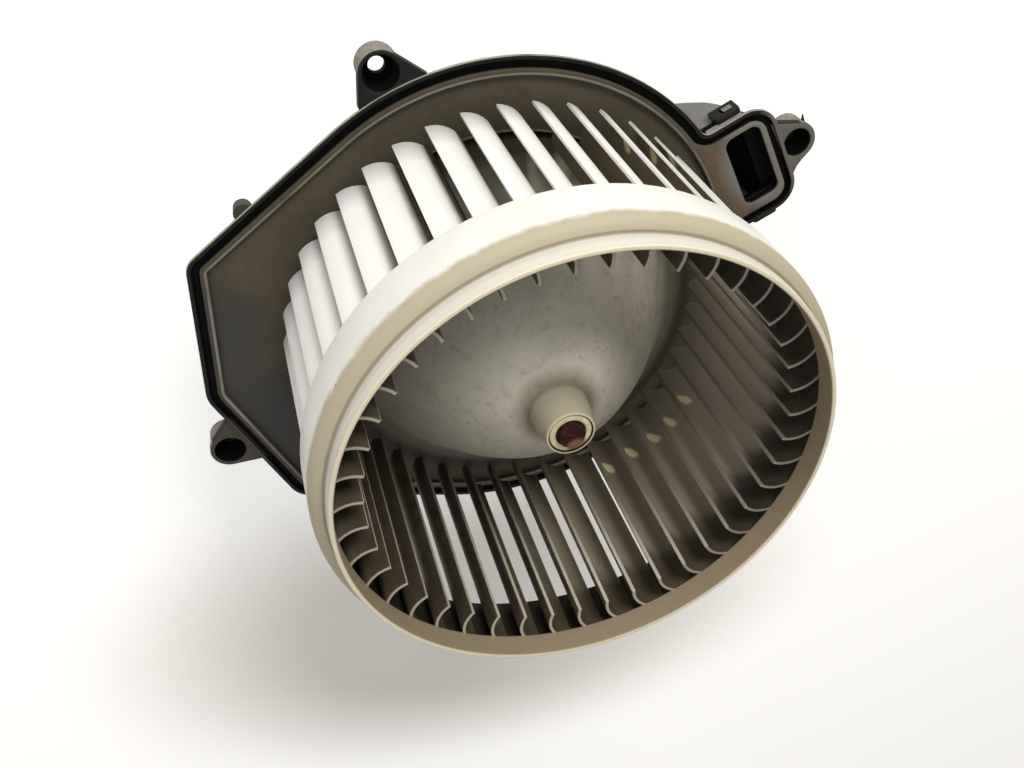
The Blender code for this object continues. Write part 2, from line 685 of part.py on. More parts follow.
def build_motor(coll, cutters, mats):
    inner = CAN_R - CAN_WALL
    lid = CAN_TOP - CAN_WALL
    pocket = BEARING_R + FIT
    bore = SHAFT_R + RUN
    nose = NOSE_TOP - CAN_WALL
    can = turned("motor_can", [
        (bore, NOSE_TOP), (NOSE_R, NOSE_TOP), (NOSE_R, CAN_TOP),
        (CAN_R - CAN_CORNER, CAN_TOP), (CAN_R, CAN_TOP - CAN_CORNER), (CAN_R, CAN_FOOT),
        (inner, CAN_FOOT),
        (inner, lid - 0.8), (inner - 0.8, lid), (pocket, lid), (pocket, nose), (bore, nose)],
        coll, mats["steel"], 36)
    for i in range(4):
        x, y = polar(VENT_R, 45.0 + 90.0 * i)
        vent = block("can_vent_%d" % i, (x, y, CAN_TOP - CAN_WALL * 0.5),
                     (VENT_L, VENT_W, CAN_WALL + 2.0 * RUNOUT), cutters, turn=45.0 + 90.0 * i)
        combine(can, vent, 'DIFFERENCE')

    r0 = SHAFT_R + FIT
    half = BEARING_L * 0.5

    def sleeve(name, mid):
        turned(name, [(r0, mid + half), (BEARING_R - 1.6, mid + half), (BEARING_R, mid + 1.2),
                      (BEARING_R, mid - 1.2), (BEARING_R - 1.6, mid - half), (r0, mid - half)],
               coll, mats["sinter"], 20)

    def washer(name, z0):
        z1 = z0 + RETAINER_T
        turned(name, [(RETAINER_IN, z1), (RETAINER_R, z1), (RETAINER_R, z0), (RETAINER_IN, z0)],
               coll, mats["spring"], 20)

    sleeve("front_bearing", nose - FIT - half)
    washer("front_bearing_retainer", lid - FIT - RETAINER_T)

    bell_in = BELL_Z + CAN_WALL
    cup = BELL_Z - BELL_CUP
    rim = CAN_FOOT - FIT
    bell = turned("end_bell", [
        (inner - FIT, rim), (CAN_R, rim), (CAN_R, BELL_Z + 0.8), (CAN_R - 0.8, BELL_Z),
        (NOSE_R, BELL_Z), (NOSE_R, cup), (bore, cup), (bore, cup + CAN_WALL),
        (pocket, cup + CAN_WALL), (pocket, bell_in), (inner - FIT, bell_in)],
        coll, mats["steel"], 36)
    for i in range(4):
        x, y = polar(VENT_R - 1.0, 45.0 + 90.0 * i)
        vent = block("bell_vent_%d" % i, (x, y, BELL_Z + CAN_WALL * 0.5),
                     (VENT_L - 1.0, VENT_W, CAN_WALL + 2.0 * RUNOUT), cutters,
                     turn=45.0 + 90.0 * i)
        combine(bell, vent, 'DIFFERENCE')
    sleeve("rear_bearing", cup + CAN_WALL + FIT + half)
    washer("rear_bearing_retainer", bell_in + FIT)

    outer = inner - FIT
    for name, mid in (("magnet_upper", 90.0), ("magnet_lower", 270.0)):
        a0 = mid - MAGNET_ARC * 0.5
        a1 = mid + MAGNET_ARC * 0.5
        edge = arc(0, 0, outer, a0, a1, 12) + arc(0, 0, MAGNET_R, a1, a0, 12)
        flat(name, [edge], MAGNET_Z[0], MAGNET_Z[1], coll, mats["ferrite"])
    gap = math.degrees(FIT / outer)
    for name, mid in (("magnet_spring_right", 0.0), ("magnet_spring_left", 180.0)):
        reach = 90.0 - MAGNET_ARC * 0.5 - gap
        edge = arc(0, 0, outer, mid - reach, mid + reach, 6)
        edge += arc(0, 0, outer - MAGNET_CLIP_T, mid + reach, mid - reach, 6)
        flat(name, [edge], MAGNET_Z[0] + MAGNET_CLIP_IN, MAGNET_Z[1] - MAGNET_CLIP_IN, coll,
             mats["spring"])

    z0, z1 = CARD_Z
    card = flat("brush_card", [ring_points(outer, 36), ring_points(CARD_HOLE_R, 20)], z0, z1,
                coll, mats["card"])
    base = z1 + BRUSH_UP
    wall = BRUSH_BOX_WALL
    brush_in = COMM_R + FIT
    stop = BRUSH_BOX_OUT - BRUSH_BOX_END - FIT
    start = stop - SPRING_L
    brush_l = start - FIT - brush_in
    for side, word in ((1.0, "positive"), (-1.0, "negative")):
        length = BRUSH_BOX_OUT - (CARD_HOLE_R + 0.4)
        mid = side * (BRUSH_BOX_OUT + CARD_HOLE_R + 0.4) * 0.5
        height = base + BRUSH_H + FIT + wall - z1
        box = block("box_" + word, (mid, 0, z1 - 0.5 + (height + 0.5) * 0.5),
                    (length, BRUSH_W + 2 * (FIT + wall), height + 0.5), cutters)
        combine(card, box, 'UNION')
        room = block("room_" + word, (mid - side * BRUSH_BOX_END, 0, base + BRUSH_H * 0.5),
                     (length, BRUSH_W + 2 * FIT, BRUSH_H + 2 * FIT), cutters)
        combine(card, room, 'DIFFERENCE')
        block("brush_" + word, (side * (brush_in + brush_l * 0.5), 0, base + BRUSH_H * 0.5),
              (brush_l, BRUSH_W, BRUSH_H), coll, mats["carbon"])
        spring_coil("brush_spring_" + word, side, start, stop, base + BRUSH_H * 0.5, coll,
                    mats["spring"])
        x, y = polar(PARTS_R, 90.0 * side + 26.0)
        half_l = CHOKE_L * 0.5
        coil = half_l - 2.0
        thin = CHOKE_R - 1.0
        choke = turned("choke_" + word, [(0.0, half_l), (thin, half_l), (thin, coil + 0.4),
                                         (CHOKE_R, coil), (CHOKE_R, -coil), (thin, -coil - 0.4),
                                         (thin, -half_l), (0.0, -half_l)],
                       coll, mats["copper"], 10)
        choke.location = (x * MM, y * MM, (z1 + FIT + CHOKE_R) * MM)
        choke.rotation_euler = (0.0, math.radians(90.0), math.radians(90.0 * side + 26.0 + 90.0))
    x, y = polar(PARTS_R + 0.5, 50.0)
    block("capacitor", (x, y, z1 + FIT + CAPACITOR[2] * 0.5), CAPACITOR, coll, mats["epoxy"], 50.0)


def spring_coil(name, side, start, stop, height, coll, mat):
    """A compression spring lying along X behind its brush."""
    wire = SPRING_WIRE
    turns = 3
    per_turn = 8
    curve = bpy.data.curves.new(name, 'CURVE')
    curve.dimensions = '3D'
    curve.bevel_depth = wire * MM
    curve.bevel_resolution = 0
    curve.use_fill_caps = True
    spline = curve.splines.new('POLY')
    count = turns * per_turn
    spline.points.add(count)
    for i in range(count + 1):
        t = i / count
        a = math.tau * turns * t
        x = start + wire + (stop - start - 2.0 * wire) * t
        spline.points[i].co = (side * x * MM, SPRING_R * MM * math.cos(a),
                               (height + SPRING_R * math.sin(a)) * MM, 1.0)
    guide = bpy.data.objects.new(name, curve)
    coll.objects.link(guide)
    bpy.context.view_layer.update()
    mesh = bpy.data.meshes.new_from_object(guide.evaluated_get(
        bpy.context.evaluated_depsgraph_get()))
    bm = bmesh.new()
    bm.from_mesh(mesh)
    bmesh.ops.remove_doubles(bm, verts=bm.verts, dist=0.000001)
    bmesh.ops.recalc_face_normals(bm, faces=bm.faces)
    bm.to_mesh(mesh)
    bm.free()
    mesh.materials.clear()
    bpy.data.objects.remove(guide, do_unlink=True)
    return add(name, mesh, coll, mat)


def build_isolators(coll, mats):
    top = WELL_Z - TUBE_WALL * 0.5 - FIT
    ring_in = CAN_R + FIT
    ring_out = TUBE_R - FIT
    turned("front_isolator", [(ring_in, top), (ring_out, top), (ring_out, top - ISOLATOR_H),
                              (ring_in, top - ISOLATOR_H)], coll, mats["rubber"], 36)
    z0 = PILLAR_TOP + FIT
    z1 = BELL_Z - FIT
    turned("rear_isolator", [(PILLAR_R - 1.0, z1), (PILLAR_R + 3.8, z1), (PILLAR_R + 3.8, z0),
                             (PILLAR_R - 1.0, z0)], coll, mats["rubber"], 24)


def latch_places():
    """The two loops beside the inlet: V of the cover's wall and of the loop's centre, outward turn."""
    return (
        (PAN_V[0], DUCT_OUT_V[0] - LATCH_T * 0.5 + FIT, DUCT_TURN + 90.0),
        (PAN_V[1], DUCT_OUT_V[1] + LATCH_T * 0.5 - FIT, DUCT_TURN - 90.0),
    )


def build_flange(coll, cutters, mat):
    edge = scroll_outline(True)
    flange = flat("mounting_flange", [edge], PLATE_FOOT, RIM_TOP, coll, mat)
    groove = flat("groove", [inset(edge, LIP_WALL), inset(edge, LIP_WALL + GROOVE)], GROOVE_Z,
                  RIM_TOP + 2.0, cutters)
    combine(flange, groove, 'DIFFERENCE')
    pad = flat("well_pad", [pan_outline(WELL_R + SEAT_LAP, 0.6)], SEAT_Z, PLATE_FOOT + 0.9, cutters)
    combine(flange, pad, 'UNION')
    tube = drum("motor_tube", 0, 0, TUBE_FOOT, PLATE_FOOT + 2.2, TUBE_R + TUBE_WALL,
                TUBE_R + TUBE_WALL, cutters, None, 36)
    combine(flange, tube, 'UNION')

    for i, (beyond, turn, wall, root_a, root_b) in enumerate(EARS):
        x, y = polar(RIM_R + beyond, turn)
        roots = [polar(RIM_R + out, at) for out, at in (root_a, root_b)]
        web = flat("ear_web_%d" % i, [hull(arc(x, y, EAR_R, 0.0, 337.5, 15) + roots)],
                   EAR_TOP - EAR_PLATE, EAR_TOP, cutters)
        combine(flange, web, 'UNION')
        post = drum("ear_post_%d" % i, x, y, EAR_FOOT, EAR_TOP - 0.5, EAR_R - 0.2 - EAR_TAPER,
                    EAR_R - 0.2, cutters, None, 16)
        combine(flange, post, 'UNION')
    x, y = polar(RIM_R + LOCATOR_OUT, LOCATOR_TURN)
    peg = drum("locator", x, y, LOCATOR_FOOT, PLATE_FOOT + 0.7, LOCATOR_R - 0.3, LOCATOR_R, cutters,
               None, 12)
    combine(flange, peg, 'UNION')
    for i, turn in enumerate(RIB_TURNS):
        r0, r1 = WELL_R + 1.0, RIM_R - RIB_INSET
        x, y = polar((r0 + r1) * 0.5, turn)
        low, high = PLATE_FOOT - RIB_DROP, PLATE_FOOT + 1.5
        rib = block("rib_%d" % i, (x, y, (low + high) * 0.5), (r1 - r0, RIB_W, high - low), cutters,
                    turn=turn)
        combine(flange, rib, 'UNION')
    z0, z1 = LATCH_Z
    for i, (wall_v, v, turn) in enumerate(latch_places()):
        x, y = duct_point(LATCH_U, v)
        loop = block("loop_%d" % i, (x, y, (z0 + z1) * 0.5), (LATCH_T, LATCH_W, z1 - z0), cutters,
                     turn=turn)
        combine(flange, loop, 'UNION')
        inner = abs(wall_v) - COVER_WALL * 0.5 - FIT
        outer = abs(v) + LATCH_T * 0.5 + 1.0
        x, y = duct_point(LATCH_U + LATCH_WINDOW_OFF, math.copysign((inner + outer) * 0.5, v))
        window = block("loop_window_%d" % i, (x, y, (z0 + LATCH_BAR + PLATE_FOOT) * 0.5),
                       (outer - inner, LATCH_WINDOW, PLATE_FOOT - z0 - LATCH_BAR),
                       cutters, turn=turn)
        combine(flange, window, 'DIFFERENCE')

    floor_edge = inset(scroll_outline(False), LIP_WALL + GROOVE + RIDGE_WALL)
    pocket = flat("floor_pocket", [floor_edge], FLOOR_Z, RIM_TOP + 4.0, cutters)
    combine(flange, pocket, 'DIFFERENCE')
    well = drum("well", 0, 0, WELL_Z, RIM_TOP + 5.0, WELL_R, WELL_R, cutters, None, 48)
    combine(flange, well, 'DIFFERENCE')
    shelf = WELL_Z - TUBE_WALL * 0.5
    bore = drum("motor_bore", 0, 0, TUBE_FOOT - 2.0, shelf, TUBE_R, TUBE_R, cutters, None, 36)
    combine(flange, bore, 'DIFFERENCE')
    mouth = drum("motor_mouth", 0, 0, TUBE_FOOT - 3.0, RIM_TOP + 6.0, TUBE_LIP_R, TUBE_LIP_R,
                 cutters, None, 36)
    combine(flange, mouth, 'DIFFERENCE')
    inlet = flat("inlet", [rounded_box(DUCT_U, DUCT_V, DUCT_CORNER)], DUCT_LEDGE_Z,
                 RIM_TOP + 2.0, cutters)
    combine(flange, inlet, 'DIFFERENCE')
    throat = flat("throat", [rounded_box((DUCT_U[0], DUCT_THROAT_U), DUCT_V, DUCT_CORNER)],
                  SEAT_Z - 2.0, RIM_TOP + 2.5, cutters)
    combine(flange, throat, 'DIFFERENCE')
    for i, (beyond, turn, wall, root_a, root_b) in enumerate(EARS):
        x, y = polar(RIM_R + beyond, turn)
        sink = drum("ear_sink_%d" % i, x, y, EAR_TOP - EAR_BORE_DEPTH, EAR_TOP + 1.0,
                    EAR_R - wall - EAR_BORE_TAPER, EAR_R - wall, cutters, None, 16)
        combine(flange, sink, 'DIFFERENCE')
        hole = drum("ear_hole_%d" % i, x, y, EAR_FOOT - 1.0, EAR_TOP + 1.0, EAR_HOLE_R, EAR_HOLE_R,
                    cutters, None, 12)
        combine(flange, hole, 'DIFFERENCE')
    for i in range(4):
        turn = DUCT_TURN + 90.0 * i
        x, y = polar(TUBE_R + TUBE_WALL * 0.5, turn)
        window = block("tube_window_%d" % i, (x, y, RIM_TOP - WINDOW_DEPTH),
                       (TUBE_WALL + 3.0 * RUNOUT, WINDOW_W, WINDOW_H), cutters, turn=turn)
        combine(flange, window, 'DIFFERENCE')
    return flange


def toe_block(name, radius, cutters):
    """All that lies outside the rounded toe of the cover's arm, as a cutter."""
    u0, u1 = ARM_ROOT - PAN_R * 0.3, DUCT_OUT_U + RUNOUT
    z0, z1 = PAN_FLOOR - RUNOUT, RIM_TOP
    middle = (PAN_V[0] + PAN_V[1]) * 0.5
    across = PAN_V[1] - PAN_V[0] + 4.0 * RUNOUT
    x, y = duct_point((u0 + u1) * 0.5, middle)
    outside = block(name, (x, y, (z0 + z1) * 0.5), (u1 - u0, across, z1 - z0), cutters,
                    turn=DUCT_TURN)
    x, y = duct_point(TOE_AXIS[0], middle)
    kept = drum(name + "_kept", 0, 0, -across, across, radius, radius, cutters, None, 72)
    kept.location = (x * MM, y * MM, TOE_AXIS[1] * MM)
    kept.rotation_euler = (math.radians(90.0), 0.0, math.radians(DUCT_TURN))
    combine(outside, kept, 'DIFFERENCE')
    return outside


def build_cover(coll, cutters, mats):
    mat = mats["cover"]
    top = SEAT_Z - FIT
    edge = pan_outline(PAN_R)
    cover = flat("rear_cover", [edge], PAN_FLOOR, top, coll, mat)
    cup = drum("cup", 0, 0, 0.0, PAN_FLOOR + 1.0, CUP_R - CUP_TAPER, CUP_R, cutters, None, 40)
    combine(cover, cup, 'UNION')
    toe = toe_block("toe", TOE_R, cutters)
    combine(cover, toe, 'DIFFERENCE')
    sill = LATCH_Z[0] + LATCH_BAR + FIT
    for i, (wall_v, v, turn) in enumerate(latch_places()):
        side = math.copysign(1.0, v)
        reach = abs(v) + LATCH_T * 0.5 - abs(wall_v) + COVER_WALL * 0.5
        x, y = duct_point(LATCH_U + LATCH_WINDOW_OFF,
                          wall_v + side * (reach - COVER_WALL) * 0.5)
        catch = block("catch_%d" % i, (x, y, sill + CATCH_H * 0.5), (reach, CATCH_W, CATCH_H),
                      cutters, turn=turn)
        combine(cover, catch, 'UNION')
    x, y = polar((CUP_R - 6.0 + SOCKET_OUT) * 0.5, SOCKET_TURN)
    z0, z1 = SOCKET_Z
    shroud = block("shroud", (x, y, (z0 + z1) * 0.5),
                   (SOCKET_OUT - CUP_R + 6.0, SOCKET_W, z1 - z0), cutters, turn=SOCKET_TURN)
    combine(cover, shroud, 'UNION')

    room = flat("pan_room", [inset(edge, COVER_WALL)], PAN_FLOOR + COVER_WALL, top + 2.0, cutters)
    combine(room, toe_block("toe_inside", TOE_R - COVER_WALL, cutters), 'DIFFERENCE')
    combine(cover, room, 'DIFFERENCE')
    hollow = drum("cup_room", 0, 0, CUP_FLOOR, PAN_FLOOR + COVER_WALL + 0.5,
                  CUP_R - CUP_TAPER - COVER_WALL, CUP_R - COVER_WALL, cutters, None, 40)
    combine(cover, hollow, 'DIFFERENCE')
    pillar = flat("pillar", [ring_points(PILLAR_R + PILLAR_WALL, 24), ring_points(PILLAR_R, 24)],
                  CUP_FLOOR - 1.0, PILLAR_TOP, cutters)
    combine(cover, pillar, 'UNION')
    back = CUP_R + SOCKET_WALL - 0.2
    x, y = polar((back + SOCKET_OUT + RUNOUT) * 0.5, SOCKET_TURN)
    socket = block("socket_room", (x, y, (z0 + z1) * 0.5),
                   (SOCKET_OUT + RUNOUT - back, SOCKET_W - 2 * SOCKET_WALL,
                    z1 - z0 - 2 * SOCKET_WALL), cutters, turn=SOCKET_TURN)
    combine(cover, socket, 'DIFFERENCE')
    middle = (z0 + z1) * 0.5
    inside = PILLAR_R + PILLAR_WALL + FIT
    for side, word in ((1.0, "positive"), (-1.0, "negative")):
        offset = side * TERMINAL_PITCH * 0.5
        dx, dy = polar(offset, SOCKET_TURN + 90.0)
        x, y = polar((inside + SOCKET_OUT - TERMINAL_END) * 0.5, SOCKET_TURN)
        slot = block("terminal_slot_" + word, (x + dx, y + dy, middle),
                     (SOCKET_OUT - inside, TERMINAL_W + 2 * FIT, TERMINAL_T + 2 * FIT), cutters,
                     turn=SOCKET_TURN)
        combine(cover, slot, 'DIFFERENCE')
        block("terminal_" + word, (x + dx, y + dy, middle),
              (SOCKET_OUT - TERMINAL_END - inside - 2 * FIT, TERMINAL_W, TERMINAL_T), coll, mats["tin"],
              SOCKET_TURN)
    return cover


def main():
    clear_scene()
    coll = collection("blower_fan")
    cutters = collection("cutters")
    mats = {
        "wheel": material("white_polypropylene", (0.80, 0.79, 0.74), 0.42),
        "flange": material("black_filled_moulding", (0.025, 0.024, 0.023), 0.55),
        "cover": material("dark_grey_moulding", (0.055, 0.055, 0.056), 0.60),
        "steel": material("zinc_plated_steel", (0.46, 0.47, 0.48), 0.38, 1.0),
        "shaft": material("rusty_shaft_steel", (0.17, 0.06, 0.035), 0.85, 0.2),
        "bush": material("dull_bush", (0.50, 0.44, 0.30), 0.6, 0.3),
        "core": material("lamination_steel", (0.20, 0.20, 0.21), 0.5, 0.9),
        "copper": material("enamelled_copper", (0.52, 0.20, 0.08), 0.35, 0.8),
        "ferrite": material("ferrite", (0.06, 0.06, 0.065), 0.7),
        "spring": material("spring_steel", (0.42, 0.42, 0.42), 0.35, 1.0),
        "sinter": material("sintered_bronze", (0.45, 0.28, 0.12), 0.55, 0.9),
        "card": material("tan_phenolic", (0.22, 0.11, 0.05), 0.5),
        "carbon": material("copper_graphite", (0.10, 0.085, 0.08), 0.6, 0.3),
        "epoxy": material("blue_epoxy", (0.03, 0.08, 0.25), 0.4),
        "nylon": material("natural_nylon", (0.75, 0.72, 0.62), 0.5),
        "tin": material("tinned_brass", (0.66, 0.64, 0.58), 0.3, 1.0),
        "rubber": material("black_rubber", (0.02, 0.02, 0.02), 0.8),
    }
    build_wheel(coll, cutters, mats["wheel"])
    build_rotor(coll, cutters, mats)
    build_motor(coll, cutters, mats)
    build_isolators(coll, mats)
    build_flange(coll, cutters, mats["flange"])
    build_cover(coll, cutters, mats)
    for ob in coll.objects:
        smooth(ob)


main()
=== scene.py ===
"""Looks of a heater blower fan: a dusty white wheel on a motor held in a black moulded flange."""
import math

import bmesh
import bpy
from bpy.props import FloatProperty, FloatVectorProperty, IntProperty, PointerProperty, StringProperty
from mathutils import Matrix, Vector, noise


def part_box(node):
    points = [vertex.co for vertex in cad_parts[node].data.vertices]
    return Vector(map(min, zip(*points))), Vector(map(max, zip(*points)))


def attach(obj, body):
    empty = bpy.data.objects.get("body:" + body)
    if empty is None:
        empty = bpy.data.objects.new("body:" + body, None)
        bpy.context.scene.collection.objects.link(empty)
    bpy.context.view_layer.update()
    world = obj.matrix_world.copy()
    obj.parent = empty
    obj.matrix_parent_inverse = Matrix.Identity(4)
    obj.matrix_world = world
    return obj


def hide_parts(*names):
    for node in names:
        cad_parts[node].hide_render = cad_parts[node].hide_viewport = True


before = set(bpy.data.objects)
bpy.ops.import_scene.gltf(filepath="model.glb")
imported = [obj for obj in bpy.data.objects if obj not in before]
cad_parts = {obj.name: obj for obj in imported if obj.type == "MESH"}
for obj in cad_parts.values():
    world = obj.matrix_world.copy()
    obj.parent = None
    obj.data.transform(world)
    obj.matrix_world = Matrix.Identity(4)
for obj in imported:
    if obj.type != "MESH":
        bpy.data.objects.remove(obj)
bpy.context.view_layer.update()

bl_info = {
    "name": "Blower fan",
    "version": (1, 0, 0),
    "blender": (4, 5, 0),
    "location": "View3D > Sidebar > Blower fan",
    "description": "Dresses a packed blower fan with its visible pieces, finishes, floor, light and camera",
    "category": "Object",
}

MM = 0.001
# Height in mm of the wheel's back end, from which the heights on the wheel are counted
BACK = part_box("fan_wheel")[0].z / MM
# A noise's scale counts its spots in a metre
PER_METRE = 1000.0
# How deep a grain looks, as a share of its size
GRAIN_DEPTH = 0.12


# Materials. A finish is a base colour under coats of dirt, wear and painted light and shade, each held to a
# place by its masks.

def linear(text):
    """An sRGB hex colour as linear RGBA."""
    out = []
    for i in (0, 2, 4):
        c = int(text[i:i + 2], 16) / 255.0
        out.append(c / 12.92 if c <= 0.04045 else ((c + 0.055) / 1.055) ** 2.4)
    return (*out, 1.0)


def node(tree, kind, inputs=None, output=0, **settings):
    """Adds a node with its settings and the numbers or sockets of its inputs, and gives one output."""
    made = tree.nodes.new(kind)
    for name, value in settings.items():
        setattr(made, name, value)
    for key, value in (inputs or {}).items():
        if isinstance(value, bpy.types.NodeSocket):
            tree.links.new(value, made.inputs[key])
        else:
            made.inputs[key].default_value = value
    return made.outputs[output] if made.outputs else None


def gauges(tree):
    """What a mask can go by: the place, the radius from the shaft, the height, the facing (up, or out from
    the shaft) and the soil."""
    place = node(tree, "ShaderNodeTexCoord", output="Object")
    flat = node(tree, "ShaderNodeVectorMath", {0: place, 1: (1.0, 1.0, 0.0)}, operation='MULTIPLY')
    facing = node(tree, "ShaderNodeNewGeometry", output="Normal")
    away = node(tree, "ShaderNodeVectorMath", {0: flat}, operation='NORMALIZE')
    return {
        "place": place,
        "radius": node(tree, "ShaderNodeVectorMath", {0: flat}, output="Value", operation='LENGTH'),
        "height": node(tree, "ShaderNodeSeparateXYZ", {0: place}, output="Z"),
        "up": node(tree, "ShaderNodeSeparateXYZ", {0: facing}, output="Z"),
        "out": node(tree, "ShaderNodeVectorMath", {0: facing, 1: away}, output="Value",
                    operation='DOT_PRODUCT'),
        "soil": node(tree, "ShaderNodeAttribute", output="Fac", attribute_name="soil"),
    }


def mask(tree, gauge, what, low, high, size=8.0, wander=0.0, at=None):
    """0 at low and 1 at high. "patches" are soft spots of a size in mm, "near" is the distance in mm from
    a point, "above" is the height from BACK, and the rest are gauges. The line of any of them wanders by the
    given amount."""
    if what == "above":
        what, low, high = "height", BACK + low, BACK + high
    scale = MM if what in ("radius", "height", "near") else 1.0
    value = None
    if what == "patches" or wander:
        value = node(tree, "ShaderNodeTexNoise", {"Vector": gauge["place"], "Scale": PER_METRE / size,
                                                  "Detail": 4.0})
    if what != "patches":
        spots, value = value, gauge.get(what)
        if what == "near":
            point = [c * MM for c in at]
            value = node(tree, "ShaderNodeVectorMath", {0: gauge["place"], 1: point}, output="Value",
                         operation='DISTANCE')
        if wander:
            value = node(tree, "ShaderNodeMath", {0: spots, 1: wander * scale, 2: value},
                         operation='MULTIPLY_ADD')
    off = 0.5 * wander
    return node(tree, "ShaderNodeMapRange", {"Value": value, "From Min": (low + off) * scale,
                                             "From Max": (high + off) * scale})


def held(tree, gauge, share, masks):
    """A share that is held to where all of its masks are 1."""
    for terms in masks:
        share = node(tree, "ShaderNodeMath", {0: share, 1: mask(tree, gauge, *terms)}, operation='MULTIPLY')
    return share


def finish(name, base, coats, rough, grain, bump, metallic=0.0, worn=None, shine=0.5):
    """A material: a base colour under its coats, a roughness, a grain in mm and how deep it looks.

    A coat is (colour, share, mask, mask, ...), and worn is (roughness, mask, ...) where the surface is
    duller. A dusty plastic has less shine than the usual 0.5. The grains of moulded pieces, near 1 mm, are
    coarser than a real moulded skin, which is finer than a pixel here.
    """
    mat = bpy.data.materials.new(name)
    mat.use_nodes = True
    tree = mat.node_tree
    tree.nodes.clear()
    gauge = gauges(tree)
    colour = linear(base)
    for above, share, *masks in coats:
        amount = held(tree, gauge, share, masks)
        colour = node(tree, "ShaderNodeMix", {0: amount, 6: colour, 7: linear(above)}, output=2,
                      data_type='RGBA')
    if worn:
        change = held(tree, gauge, worn[0] - rough, worn[1:])
        rough = node(tree, "ShaderNodeMath", {0: change, 1: rough}, operation='ADD')
    texture = node(tree, "ShaderNodeTexNoise", {"Vector": gauge["place"], "Scale": PER_METRE / grain,
                                                "Detail": 3.0})
    depth = grain * GRAIN_DEPTH * MM
    normal = node(tree, "ShaderNodeBump", {"Height": texture, "Strength": bump, "Distance": depth})
    shader = node(tree, "ShaderNodeBsdfPrincipled", {
        "Base Color": colour, "Roughness": rough, "Normal": normal, "Metallic": metallic,
        "Specular IOR Level": shine})
    node(tree, "ShaderNodeOutputMaterial", {"Surface": shader})
    return mat


# Shapes. All lengths that go in are in millimetres.

def finish_piece(name, bm, body, nodes, mats, angle=35.0):
    """Makes the bmesh an object with its materials, which rides on a body and stands for CAD nodes."""
    mesh = bpy.data.meshes.new(name)
    bm.to_mesh(mesh)
    bm.free()
    for mat in mats:
        mesh.materials.append(mat)
    mesh.shade_smooth()
    mesh.set_sharp_from_angle(angle=math.radians(angle))
    piece = bpy.data.objects.new(name, mesh)
    bpy.context.scene.collection.objects.link(piece)
    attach(piece, body)
    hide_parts(*nodes)


def polar(radius, degrees):
    a = math.radians(degrees)
    return (radius * math.cos(a), radius * math.sin(a))


def arc(centre, radius, start, stop, steps):
    """Points of an arc in plan."""
    out = []
    for i in range(steps + 1):
        x, y = polar(radius, start + (stop - start) * i / steps)
        out.append((centre[0] + x, centre[1] + y))
    return out


def circle(radius, steps, centre=(0.0, 0.0)):
    """Points of a whole circle in plan."""
    return arc(centre, radius, 0.0, 360.0 - 360.0 / steps, steps - 1)


def rounded(points, radii, steps=4, closed=False):
    """A polyline with arcs of the given radii at its inner points, or at all of them if it is closed."""
    if closed:
        points = [points[-1], *points, points[0]]
    out = [] if closed else [points[0]]
    for before, corner, after, radius in zip(points, points[1:], points[2:], radii):
        c = Vector(corner)
        a = (Vector(before) - c).normalized()
        b = (Vector(after) - c).normalized()
        if radius <= 0.0:
            out.append(corner)
            continue
        half = a.angle(b) * 0.5
        centre = c + (a + b).normalized() * (radius / math.sin(half))
        p = c + a * (radius / math.tan(half)) - centre
        q = c + b * (radius / math.tan(half)) - centre
        for i in range(steps + 1):
            t = i / steps
            out.append(tuple(centre + (p * (1.0 - t) + q * t).normalized() * radius))
    return out if closed else out + [points[-1]]


def loop_of(bm, points, z):
    """A closed loop of edges at one height."""
    verts = [bm.verts.new((x * MM, y * MM, z * MM)) for x, y in points]
    return [bm.edges.new(pair) for pair in zip(verts, verts[1:] + verts[:1])]


def settle(bm, faces, slot):
    """Points the faces outwards and gives them a material slot."""
    bmesh.ops.recalc_face_normals(bm, faces=faces)
    for f in faces:
        f.material_index = slot
    return faces


def raise_faces(bm, faces, low, high, slot, soften, ends):
    """Raises flat faces into a solid from low to high, and softens the edges of the given ends."""
    before = set(bm.faces) - set(faces)
    raised = bmesh.ops.extrude_face_region(bm, geom=faces)
    up = [g for g in raised["geom"] if isinstance(g, bmesh.types.BMVert)]
    bmesh.ops.translate(bm, vec=(0.0, 0.0, (high - low) * MM), verts=up)
    made = [f for f in bm.faces if f not in before]
    bmesh.ops.recalc_face_normals(bm, faces=made)
    heights = [z * MM for z in ends]
    rims = []
    for e in {e for f in made for e in f.edges}:
        at_end = any(abs(e.verts[0].co.z - z) < 1e-6 and abs(e.verts[1].co.z - z) < 1e-6 for z in heights)
        if at_end and e.calc_face_angle(0.0) > 1.0:
            rims.append(e)
    if rims:
        bmesh.ops.bevel(bm, geom=rims, offset=soften * MM, segments=2, profile=0.5, affect='EDGES',
                        material=-1)
    return settle(bm, [f for f in bm.faces if f not in before], slot)


def plate(bm, outlines, low, high, slot=0, soften=0.25, ends=None):
    """A plate between two heights from an outline and the outlines of its holes."""
    before = set(bm.faces)
    edges = [e for points in outlines for e in loop_of(bm, points, low)]
    bmesh.ops.triangle_fill(bm, use_beauty=True, edges=edges)
    faces = [f for f in bm.faces if f not in before]
    return raise_faces(bm, faces, low, high, slot, soften, (high,) if ends is None else ends)


def inset(bm, face, width):
    """Insets a face evenly, and gives the faces that this makes round it."""
    return bmesh.ops.inset_region(bm, faces=[face], thickness=width * MM, use_even_offset=True,
                                  use_boundary=True)["faces"]


def band(bm, points, start, width, low, high, slot=0, soften=0.25, ends=None):
    """A wall of even width that follows an outline, start in from it."""
    face = bm.faces.new([e.verts[0] for e in loop_of(bm, points, low)])
    face.normal_update()
    if start > 0.0:
        bmesh.ops.delete(bm, geom=inset(bm, face, start), context='FACES')
    ring = inset(bm, face, width)
    bmesh.ops.delete(bm, geom=[face], context='FACES_ONLY')
    return raise_faces(bm, ring, low, high, slot, soften, (high,) if ends is None else ends)


